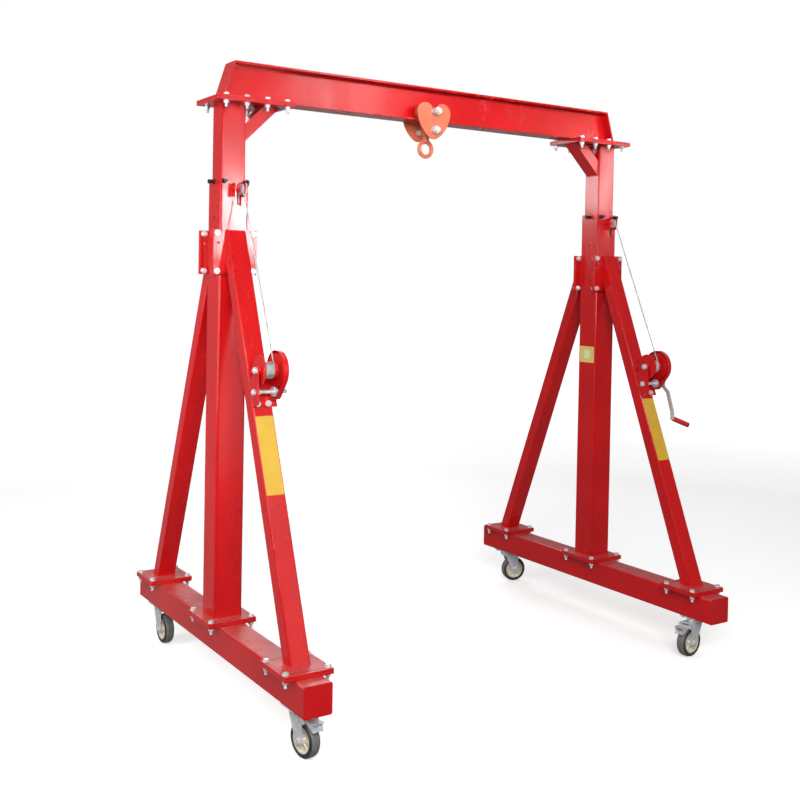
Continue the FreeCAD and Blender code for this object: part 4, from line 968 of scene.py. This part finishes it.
def film_patch(foot, across, along, out, width, length, thick, radius=0.004):
    """A thin sheet with rounded corners lying on a flat face; foot is the middle of its lower edge."""
    outline = []
    for sx, sy, start in ((1, 0, -90.0), (1, 1, 0.0), (-1, 1, 90.0), (-1, 0, 180.0)):
        for i in range(5):
            angle = math.radians(start + 90.0 * i / 4)
            x = sx * (width / 2.0 - radius) + radius * math.cos(angle)
            y = (length - radius if sy else radius) + radius * math.sin(angle)
            outline.append(foot + across * x + along * y)
    made = bmesh.new()
    low = [made.verts.new(p - out * FILM_SINK) for p in outline]
    high = [made.verts.new(p + out * thick) for p in outline]
    made.faces.new(low)
    made.faces.new(high)
    for i in range(len(outline)):
        k = (i + 1) % len(outline)
        made.faces.new((low[i], low[k], high[k], high[i]))
    bmesh.ops.recalc_face_normals(made, faces=made.faces)
    return made


def arc(centre, radius, start, end, count):
    """Points on a circle in the plane across X, angles from +Y toward +Z."""
    return [
        centre + radius * Vector((0.0, math.cos(a), math.sin(a)))
        for a in (start + (end - start) * i / count for i in range(count + 1))
    ]


# ---------------------------------------------------------------- operators
class CRANE_OT_paint(bpy.types.Operator):
    """Gives every framed part its finish and softens its sharp plate edges"""

    bl_idname = "crane.paint"
    bl_label = "Paint the frame"

    def execute(self, context):
        for row in frame["record"]["subparts"]:
            obj = frame["nodes"][row["node"]]
            obj.data.materials.clear()
            obj.data.materials.append(material(row["material_slot"]))
            weld = obj.modifiers.new("join faces", "WELD")
            weld.merge_threshold = SAME_POINT
            edges = obj.modifiers.new("soft edges", "BEVEL")
            edges.width = context.scene.crane_enamel.edge_round
            edges.segments = 2
            edges.limit_method = "ANGLE"
            edges.angle_limit = math.radians(40.0)
            edges.harden_normals = True
        return {"FINISHED"}


def rope_route(side):
    """The rope's centre line from its last turn on the drum, over the sheave, to the lug."""
    rope = bpy.context.scene.crane_rope
    thin = rope.diameter / 2.0
    drum, sheave = joint_place(side + "_drum_spin"), joint_place(side + "_sheave_spin")
    coil_low, coil_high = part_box(side + "_rope_coil")
    lay = (coil_high.z - coil_low.z) / 2.0 - thin
    sheave_low, sheave_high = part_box(side + "_sheave")
    pitch = (sheave_high.z - sheave_low.z) / 2.0 - rope.groove_depth + thin + rope.clearance
    outer_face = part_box("outer_posts")[0].y + rope.post_wall
    slot_y = (outer_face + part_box("inner_posts")[0].y) / 2.0
    span = sheave - drum
    tangent = math.atan2(span.z, span.y) + math.acos((lay - pitch) / span.length)
    bend = Vector((sheave.x, slot_y, sheave.z - rope.bend_below_sheave))
    drop = bend - sheave
    leave = math.atan2(drop.z, drop.y) + math.acos(pitch / drop.length)
    off_sheave = arc(sheave, pitch, leave, leave, 1)[0]
    ahead = (bend - off_sheave).normalized()
    turn = math.acos(-ahead.z)
    back = rope.bend_radius * math.tan(turn / 2.0)
    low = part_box("rope_anchors")[0].z
    # the live turn, the way over the sheave, the bend inside the post, then straight down to the lug
    route = arc(drum, lay, tangent + rope.live_turn, tangent, 60)
    route += arc(sheave, pitch, tangent, leave, 40)
    centre = bend + Vector((0.0, -rope.bend_radius, -back))
    route += arc(centre, rope.bend_radius, turn, 0.0, 6)
    route.append(Vector((sheave.x, slot_y, low)))
    return route


class CRANE_OT_ropes(bpy.types.Operator):
    """Lays the two wire ropes and the turns on the drums"""

    bl_idname = "crane.ropes"
    bl_label = "Lay the ropes"

    def execute(self, context):
        rope = context.scene.crane_rope
        tree = twisted_rope_tree()
        sizes = {"Rope_radius": rope.diameter / 2.0, "Lay_length": rope.lay_length, "Strands": rope.strands}
        runs = [(rope_route(side), False) for side in SIDES]
        seed = polyline("rope runs", runs)
        grow(tree, seed, "end_frames", "rope_wire", "stranded_ropes", ["wire_ropes"], **sizes)
        for side in SIDES:
            node = side + "_rope_coil"
            rings = []
            for points in solids(node):
                low, high = extent(points)
                radius = (high.z - low.z) / 2.0 - rope.diameter / 2.0
                rings.append((arc((low + high) / 2.0, radius, 0.0, 2.0 * math.pi, 80)[:-1], True))
            seed = polyline(node + " rings", rings)
            grow(tree, seed, body_holding(node), "rope_wire", side + "_wound_rope", [node], **sizes)
        return {"FINISHED"}


def read_bolt(points):
    """Axis direction toward the threaded end, shank diameter, and the places of head, nut and thread."""
    end_depth, clear_of_shank = 0.0003, 0.96
    places = numpy.array([tuple(p) for p in points])
    centre = places.mean(0)
    spread, axes = numpy.linalg.eigh(numpy.cov((places - centre).T))
    axis = axes[:, 2] if spread[1] - spread[0] < spread[2] - spread[1] else axes[:, 0]
    along = (places - centre) @ axis
    off = numpy.linalg.norm(places - centre - numpy.outer(along, axis), axis=1)
    end_radius = [off[abs(along - end) < end_depth].max() for end in (along.min(), along.max())]
    if end_radius[0] < end_radius[1]:
        axis, along = -axis, -along
    size = 2.0 * min(end_radius)
    washers = off > size * clear_of_shank
    seat, far = along[washers].min(), along[washers].max()
    axis, centre = Vector(axis), Vector(centre)
    return {
        "size": size, "axis": axis, "head": centre + axis * float(seat),
        "nut": centre + axis * float(far), "tail": centre + axis * float(along.max()),
    }


class CRANE_OT_bolts(bpy.types.Operator):
    """Fits the bolts, washers and nuts of the frame and the bridge"""

    bl_idname = "crane.bolts"
    bl_label = "Fit the bolts"

    def execute(self, context):
        tree = fastener_tree()
        for node in ("frame_bolts", "head_bolts"):
            rows = []
            for points in solids(node):
                bolt = read_bolt(points)
                axis, size = bolt["axis"], bolt["size"]
                thick = WASHER_THICK * size
                seat = bolt["nut"] - axis * thick
                rows.append((bolt["head"] + axis * thick, -axis, size, HEAD, 0.0))
                rows.append((seat, axis, size, NUT, 0.0))
                rows.append((seat, axis, size, THREAD, (bolt["tail"] - seat).length))
            spots, facing, size, kind, length = zip(*rows)
            stretch = [(d * THREAD_SIZE, d * THREAD_SIZE, long) for d, long in zip(size, length)]
            seed = point_cloud(node + " points", spots, facing=facing, size=size, kind=kind, stretch=stretch)
            grow(tree, seed, body_holding(node), "zinc", node + "_fitted", [node])
        return {"FINISHED"}


def tyre_outline(wheel, radius):
    """A tyre's section: a moulded line on its side, rounded shoulders and a fine seam on its tread."""
    half, bead = wheel.tyre_width / 2.0, wheel.hub_diameter / 2.0
    line_depth, seam = 0.0009, 0.0005
    side = [(half, bead), (half, bead + 0.0035), (half - line_depth, bead + 0.0042)]
    side += [(half - line_depth, bead + 0.0050), (half, bead + 0.0056)]
    for i in range(1, 10):
        angle = math.radians(10.0 * i)
        side.append((
            half - wheel.shoulder * (1.0 - math.cos(angle)),
            radius - wheel.shoulder * (1.0 - math.sin(angle)),
        ))
    side.append((2.0 * seam, radius))
    side.append((seam, radius - 0.0004))
    return mirrored(side)


def hub_outline(wheel, on_rib):
    """A moulded wheel centre's section, through a rib or between two ribs."""
    half, rim = wheel.tyre_width / 2.0, wheel.hub_diameter / 2.0
    boss, boss_half = wheel.boss_radius, wheel.boss_length / 2.0
    floor = half - (wheel.rib_depth if on_rib else wheel.dish_depth)
    return mirrored([
        (boss_half, wheel.bore_radius), (boss_half, boss - 0.0011), (boss_half - 0.0009, boss),
        (half - 0.0028, boss + 0.0007), (floor, boss + 0.0039), (floor, rim - 2.0 * wheel.rim_width),
        (half - 0.0042, rim - 1.24 * wheel.rim_width), (half - 0.0030, rim - wheel.rim_width),
        (half - 0.0030, rim),
    ])


def race_outline(wheel):
    """A pressed race's section: a lower cup, a waist where the balls run and an upper cap."""
    outer, height = wheel.race_radius, wheel.race_height
    inner = outer - 0.0048
    return [
        (0.0, inner), (0.0, outer - 0.0018), (0.0012, outer - 0.0006), (0.0081, outer - 0.0006),
        (0.0101, outer - 0.0018), (0.0121, outer - 0.0013), (height - 0.0029, outer),
        (height - 0.0007, outer - 0.0006), (height, outer - 0.0023), (height, inner),
    ]


class CRANE_OT_casters(bpy.types.Operator):
    """Moulds the caster wheels: ribbed centres and tyres with a worn running band"""

    bl_idname = "crane.casters"
    bl_label = "Mould the wheels"

    def execute(self, context):
        wheel = context.scene.crane_casters
        steps_per_rib, rib_steps, tyre_steps, worn_share = 18, 2, 96, 0.30
        for name in CASTERS:
            centre, axis = joint_place(name + "_roll"), joint_axis(name + "_roll")
            radius = centre.z
            worn_above = radius - worn_share * wheel.shoulder
            outline = tyre_outline(wheel, radius)
            tyre = revolved(
                name + "_tyre_mould", lambda step: outline, centre, axis, tyre_steps,
                band=lambda along, r: 1.0 if r > worn_above else 0.0,
            )
            body = body_holding(name + "_tyre")
            new_piece(name + "_tyre_mould", tyre, body, "tread_rubber", [name + "_tyre"])
            hub = revolved(
                name + "_hub_mould", lambda step: hub_outline(wheel, step % steps_per_rib < rib_steps),
                centre, axis, steps_per_rib * wheel.ribs,
            )
            new_piece(name + "_hub_mould", hub, body_holding(name + "_hub"), "cream_core", [name + "_hub"])
        return {"FINISHED"}


class CRANE_OT_races(bpy.types.Operator):
    """Presses the caster swivels' ball races"""

    bl_idname = "crane.races"
    bl_label = "Press the ball races"

    def execute(self, context):
        wheel = context.scene.crane_casters
        up = Vector((0.0, 0.0, 1.0))
        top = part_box("caster_top_plates")[1].z
        outline = race_outline(wheel)
        for name in CASTERS:
            pin = joint_place(name + "_turn")
            centre = Vector((pin.x, pin.y, top - wheel.race_drop))
            race = revolved(name + "_race", lambda step: outline, centre, up, 64)
            new_piece(name + "_race", race, "end_frames", "zinc")
        return {"FINISHED"}


class CRANE_OT_gears(bpy.types.Operator):
    """Cuts the teeth of the winches' gears and pinions"""

    bl_idname = "crane.gears"
    bl_label = "Cut the gears"

    def execute(self, context):
        winch = context.scene.crane_winch
        tree = teeth_tree()
        for side in SIDES:
            drum, shaft = joint_place(side + "_drum_spin"), joint_place(side + "_shaft_spin")
            line = shaft - drum
            toward = math.atan2(line.z, line.y) + math.pi / 2.0
            gear = (drum, winch.gear_teeth, winch.gear_root, toward, TOOTH_MIDDLE)
            pinion = (shaft, winch.pinion_teeth, winch.pinion_root, toward + math.pi, GAP_MIDDLE)
            for label, node, slot, wheel in (
                ("gear_teeth", "_winch_drum", "red_enamel", gear),
                ("pinion_teeth", "_winch_shaft", "zinc", pinion),
            ):
                pin, count, root, facing, corner = wheel
                at = Vector((drum.x + winch.gear_offset, pin.y, pin.z))
                phase = facing - corner * 2.0 * math.pi / (TOOTH_CORNERS * count)
                grow(
                    tree, point_cloud(label, [at]), body_holding(side + node), slot, side + "_" + label,
                    Teeth=count, Root_radius=root, Tooth_height=winch.tooth_height,
                    Face_width=winch.gear_width, Phase=phase,
                )
        return {"FINISHED"}


def loop_round(low, high, z, radius):
    """Points round a rectangle with rounded corners at one height."""
    points = []
    for sx, sy, start in ((1, 1, 0.0), (-1, 1, 90.0), (-1, -1, 180.0), (1, -1, 270.0)):
        middle = Vector((
            high.x - radius if sx > 0 else low.x + radius,
            high.y - radius if sy > 0 else low.y + radius,
            z,
        ))
        for i in range(5):
            angle = math.radians(start + 22.5 * i)
            points.append(middle + radius * Vector((math.cos(angle), math.sin(angle), 0.0)))
    return points


def slice_box(points, z):
    """Extent of the corner points near one height."""
    return extent([p for p in points if abs(p.z - z) < SLICE_DEPTH])


def extents(node):
    """The extent of each solid of a framed part, left to right."""
    return [extent(points) for points in solids(node)]


def nearest_across(boxes, low, high):
    """The one of some extents whose middle is nearest in X to another's."""
    return min(boxes, key=lambda box: abs(box[0].x + box[1].x - low.x - high.x))


def frame_welds():
    """Where the end frames are welded: (points, closed) for each bead."""
    posts, beams = extents("outer_posts"), extents("base_beams")
    runs = [(loop_round(low, high, low.z, WELD_CORNERS["outer_posts"]), True) for low, high in posts]
    for points in solids("front_braces") + solids("back_braces"):
        level = extent(points)[0].z
        foot_low, foot_high = slice_box(points, level)
        runs.append((loop_round(foot_low, foot_high, level, WELD_CORNERS["braces"]), True))
    for low, high in extents("post_clamp_plates"):
        post_low, post_high = nearest_across(posts, low, high)
        y = post_low.y + SEAM_INSET if low.y < 0.0 else post_high.y - SEAM_INSET
        for x in (post_low.x + SEAM_INSET, post_high.x - SEAM_INSET):
            runs.append(([Vector((x, y, z)) for z in (low.z + END_INSET, high.z - END_INSET)], False))
    for low, high in extents("base_pads"):
        beam_low, beam_high = nearest_across(beams, low, high)
        z = beam_high.z - SEAM_INSET
        for x in (beam_low.x + SEAM_INSET, beam_high.x - SEAM_INSET):
            runs.append(([Vector((x, y, z)) for y in (low.y + END_INSET, high.y - END_INSET)], False))
    return runs


def bridge_welds():
    """Where the bridge is welded: (points, closed) for each bead."""
    corner = WELD_CORNERS["inner_posts"]
    runs = [(loop_round(low, high, high.z, corner), True) for low, high in extents("inner_posts")]
    for points in solids("knee_braces"):
        low, high = extent(points)
        top_low, top_high = slice_box(points, high.z)
        runs.append((loop_round(top_low, top_high, high.z, WELD_CORNERS["knee_braces"]), True))
        foot_x = low.x if abs(low.x) > abs(high.x) else high.x
        near, far = extent([p for p in points if abs(p.x - foot_x) < SLICE_DEPTH])
        corners = [(near.y, near.z), (far.y, near.z), (far.y, far.z), (near.y, far.z)]
        runs.append(([Vector((foot_x, y, z)) for y, z in corners], True))
    beam_low, beam_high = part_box("bridge_beam")
    for low, high in extents("beam_head_plates"):
        start = max(low.x, beam_low.x) + END_INSET
        stop = min(high.x, beam_high.x) - END_INSET
        for y in (beam_low.y, beam_high.y):
            runs.append(([Vector((start, y, beam_low.z)), Vector((stop, y, beam_low.z))], False))
    return runs


class CRANE_OT_welds(bpy.types.Operator):
    """Runs the weld beads of the frames and the bridge"""

    bl_idname = "crane.welds"
    bl_label = "Run the welds"

    def execute(self, context):
        tree = weld_tree()
        bead = context.scene.crane_winch.bead_radius
        for name, runs, body in (
            ("frame_weld_beads", frame_welds(), "end_frames"),
            ("bridge_weld_beads", bridge_welds(), "bridge"),
        ):
            grow(tree, polyline(name, runs), body, "red_enamel", name, Bead_radius=bead)
        return {"FINISHED"}


class CRANE_OT_stickers(bpy.types.Operator):
    """Puts blank yellow stickers on the front braces and a blank yellow plate on the right post"""

    bl_idname = "crane.stickers"
    bl_label = "Stick the blank labels"

    def execute(self, context):
        label = context.scene.crane_labels
        for side, points in zip(SIDES, solids("front_braces")):
            low, high = extent(points)
            foot, head = slice_box(points, low.z)[0], slice_box(points, high.z)[0]
            along = Vector((0.0, head.y - foot.y, high.z - low.z)).normalized()
            across = Vector((1.0, 0.0, 0.0))
            out = across.cross(along)
            if out.y > 0.0:
                out = -out
            top = label.sticker_top - (label.right_rise if side == "right" else 0.0)
            start = Vector(((low.x + high.x) / 2.0, head.y, high.z))
            start = start - along * (top + label.sticker_length) / along.z
            length = label.sticker_length / along.z
            made = film_patch(start, across, along, out, label.sticker_width, length, label.film)
            name = side + "_brace_sticker"
            new_piece(name, plain_mesh(name, made), "end_frames", "sticker")
        low, high = extent(solids("outer_posts")[1])
        middle = Vector((low.x, (low.y + high.y) / 2.0, label.plate_above_floor))
        panel = middle + Vector((-label.film, 0.0, 0.25 * label.plate_height))
        for name, slot, start, width, height in (
            ("blank_post_plate", "blank_plate", middle, label.plate_width, label.plate_height),
            ("blank_plate_panel", "blank_panel", panel, 0.4 * label.plate_width, 0.5 * label.plate_height),
        ):
            made = film_patch(
                start, Vector((0.0, 1.0, 0.0)), Vector((0.0, 0.0, 1.0)), Vector((-1.0, 0.0, 0.0)),
                width, height, label.film / 2.0,
            )
            new_piece(name, plain_mesh(name, made), "end_frames", slot)
        return {"FINISHED"}


# each row: name, place, aim, width, height, power in watts, spread in degrees
LIGHTS = (
    ("key light", (-2.6, -4.6, 3.4), (0.0, 0.0, 1.2), 3.0, 2.0, 250.0, 180.0),
    ("side light", (-3.6, 0.2, 1.9), (-1.0, 0.0, 1.3), 1.5, 2.4, 52.0, 180.0),
    ("back light", (1.5, 5.5, 4.5), (0.0, 0.0, 1.4), 3.5, 2.0, 120.0, 180.0),
    ("left fill", (-2.7, -3.6, 1.3), (-1.05, -0.1, 1.2), 0.6, 1.6, 2.6, 40.0),
    ("beam fill", (0.4, -4.6, 3.3), (0.4, 0.0, 2.45), 1.8, 0.3, 2.4, 16.0),
    ("left sheen", (0.65, -3.95, 1.6), (-1.05, -0.06, 1.6), 0.8, 3.0, 11.0, 180.0),
    ("left glare", (0.65, -3.95, 2.1), (-1.05, -0.06, 1.97), 0.35, 0.5, 0.85, 24.0),
    ("right glare", (4.6, -3.95, 2.7), (0.95, -0.06, 2.2), 0.5, 0.6, 0.42, 24.0),
    ("beam glare", (1.66, -3.95, 3.25), (1.66, 0.0, 3.25), 0.9, 0.4, 13.0, 180.0),
    ("post sheen", (-2.76, 3.95, 2.75), (0.9, 0.0, 2.2), 0.7, 0.6, 0.40, 20.0),
)
FLOOR_LEVEL = -0.001  # a hair below the tyres


def studio_floor(stage):
    """A square floor that is seen but neither lights nor mirrors in the crane."""
    half = stage.floor_size / 2.0
    corners = [(-half, -half), (half, -half), (half, half), (-half, half)]
    mesh = bpy.data.meshes.new("studio_floor")
    mesh.from_pydata([(x, y, FLOOR_LEVEL) for x, y in corners], [], [(0, 1, 2, 3)])
    mesh.materials.append(stage_floor("studio floor", stage.floor_glow))
    floor = bpy.data.objects.new("studio_floor", mesh)
    floor.visible_diffuse = False
    floor.visible_glossy = False
    return floor


def area_light(name, place, aim, width, height, power, spread):
    """A rectangular lamp turned toward a point."""
    light = bpy.data.lights.new(name, "AREA")
    light.shape = "RECTANGLE"
    light.size, light.size_y = width, height
    light.energy = power
    light.spread = math.radians(spread)
    holder = bpy.data.objects.new(name, light)
    holder.location = place
    holder.visible_camera = False
    holder.rotation_euler = (Vector(aim) - Vector(place)).to_track_quat("-Z", "Y").to_euler()
    return holder


def studio_world(stage):
    """Even light with a brighter wall behind the crane, and a plain backdrop for the camera."""
    wall_start, wall_full = 0.55, 1.0
    world = bpy.data.worlds.new("studio")
    world.use_nodes = True
    nodes, links = world.node_tree.nodes, world.node_tree.links
    background = nodes["Background"]
    background.inputs["Color"].default_value = (1.0, 1.0, 1.0, 1.0)
    heading = nodes.new("ShaderNodeSeparateXYZ")
    links.new(nodes.new("ShaderNodeTexCoord").outputs["Generated"], heading.inputs["Vector"])
    wall = nodes.new("ShaderNodeMapRange")
    wall.interpolation_type = "SMOOTHSTEP"
    wall.inputs["From Min"].default_value = wall_start
    wall.inputs["From Max"].default_value = wall_full
    wall.inputs["To Min"].default_value = stage.ambient
    wall.inputs["To Max"].default_value = stage.ambient + stage.wall_glow
    links.new(heading.outputs["Y"], wall.inputs["Value"])
    seen = nodes.new("ShaderNodeMix")
    links.new(nodes.new("ShaderNodeLightPath").outputs["Is Camera Ray"], seen.inputs["Factor"])
    links.new(wall.outputs["Result"], seen.inputs["A"])
    seen.inputs["B"].default_value = stage.backdrop
    links.new(seen.outputs["Result"], background.inputs["Strength"])
    return world


def crane_camera(stage):
    """The camera, placed and turned from its heading, its tilt and its roll."""
    yaw, pitch, roll = stage.camera_yaw, stage.camera_pitch, stage.camera_roll
    ahead = Vector((math.sin(yaw) * math.cos(pitch), math.cos(yaw) * math.cos(pitch), -math.sin(pitch)))
    across = Vector((math.cos(yaw), -math.sin(yaw), 0.0))
    upright = across.cross(ahead)
    right = across * math.cos(roll) + upright * math.sin(roll)
    up = upright * math.cos(roll) - across * math.sin(roll)
    turn = Matrix((right, up, -ahead)).transposed()
    lens = bpy.data.cameras.new("crane view")
    lens.sensor_width = 36.0
    lens.lens = stage.camera_lens
    lens.shift_x, lens.shift_y = stage.shift_across, stage.shift_up
    camera = bpy.data.objects.new("crane view", lens)
    camera.matrix_world = Matrix.Translation(stage.camera_place) @ turn.to_4x4()
    return camera


class CRANE_OT_stage(bpy.types.Operator):
    """Sets the floor, the soft lights and the camera"""

    bl_idname = "crane.stage"
    bl_label = "Set the stage"

    def execute(self, context):
        stage = context.scene.crane_stage
        shown = context.scene.collection.objects
        floor = studio_floor(stage)
        shown.link(floor)
        for row in LIGHTS:
            shown.link(area_light(*row))
        context.scene.world = studio_world(stage)
        context.scene.view_settings.view_transform = "Standard"
        camera = crane_camera(stage)
        shown.link(camera)
        context.scene.camera = camera
        return {"FINISHED"}


STEPS = (
    CRANE_OT_paint,
    CRANE_OT_ropes,
    CRANE_OT_bolts,
    CRANE_OT_casters,
    CRANE_OT_races,
    CRANE_OT_gears,
    CRANE_OT_welds,
    CRANE_OT_stickers,
    CRANE_OT_stage,
)
SETTINGS = {
    "crane_enamel": EnamelSettings,
    "crane_steel": SteelSettings,
    "crane_casters": CasterSettings,
    "crane_winch": WinchSettings,
    "crane_labels": LabelSettings,
    "crane_rope": RopeSettings,
    "crane_stage": StageSettings,
}


class CRANE_PT_panel(bpy.types.Panel):
    """Lists the crane's steps and settings"""

    bl_label = "Gantry crane"
    bl_idname = "CRANE_PT_panel"
    bl_space_type = "VIEW_3D"
    bl_region_type = "UI"
    bl_category = "Crane"

    def draw(self, context):
        for key in SETTINGS:
            group = getattr(context.scene, key)
            box = self.layout.box()
            for name in group.__annotations__:
                box.prop(group, name)
        for step in STEPS:
            self.layout.operator(step.bl_idname)


def register():
    for kind in (*SETTINGS.values(), *STEPS, CRANE_PT_panel):
        bpy.utils.register_class(kind)
    for key, kind in SETTINGS.items():
        setattr(bpy.types.Scene, key, PointerProperty(type=kind))


def unregister():
    for key in SETTINGS:
        delattr(bpy.types.Scene, key)
    for kind in reversed((*SETTINGS.values(), *STEPS, CRANE_PT_panel)):
        bpy.utils.unregister_class(kind)


def main():
    register()
    for step in STEPS:
        group, call = step.bl_idname.split(".")
        getattr(getattr(bpy.ops, group), call)()


if __name__ == "__main__":
    main()
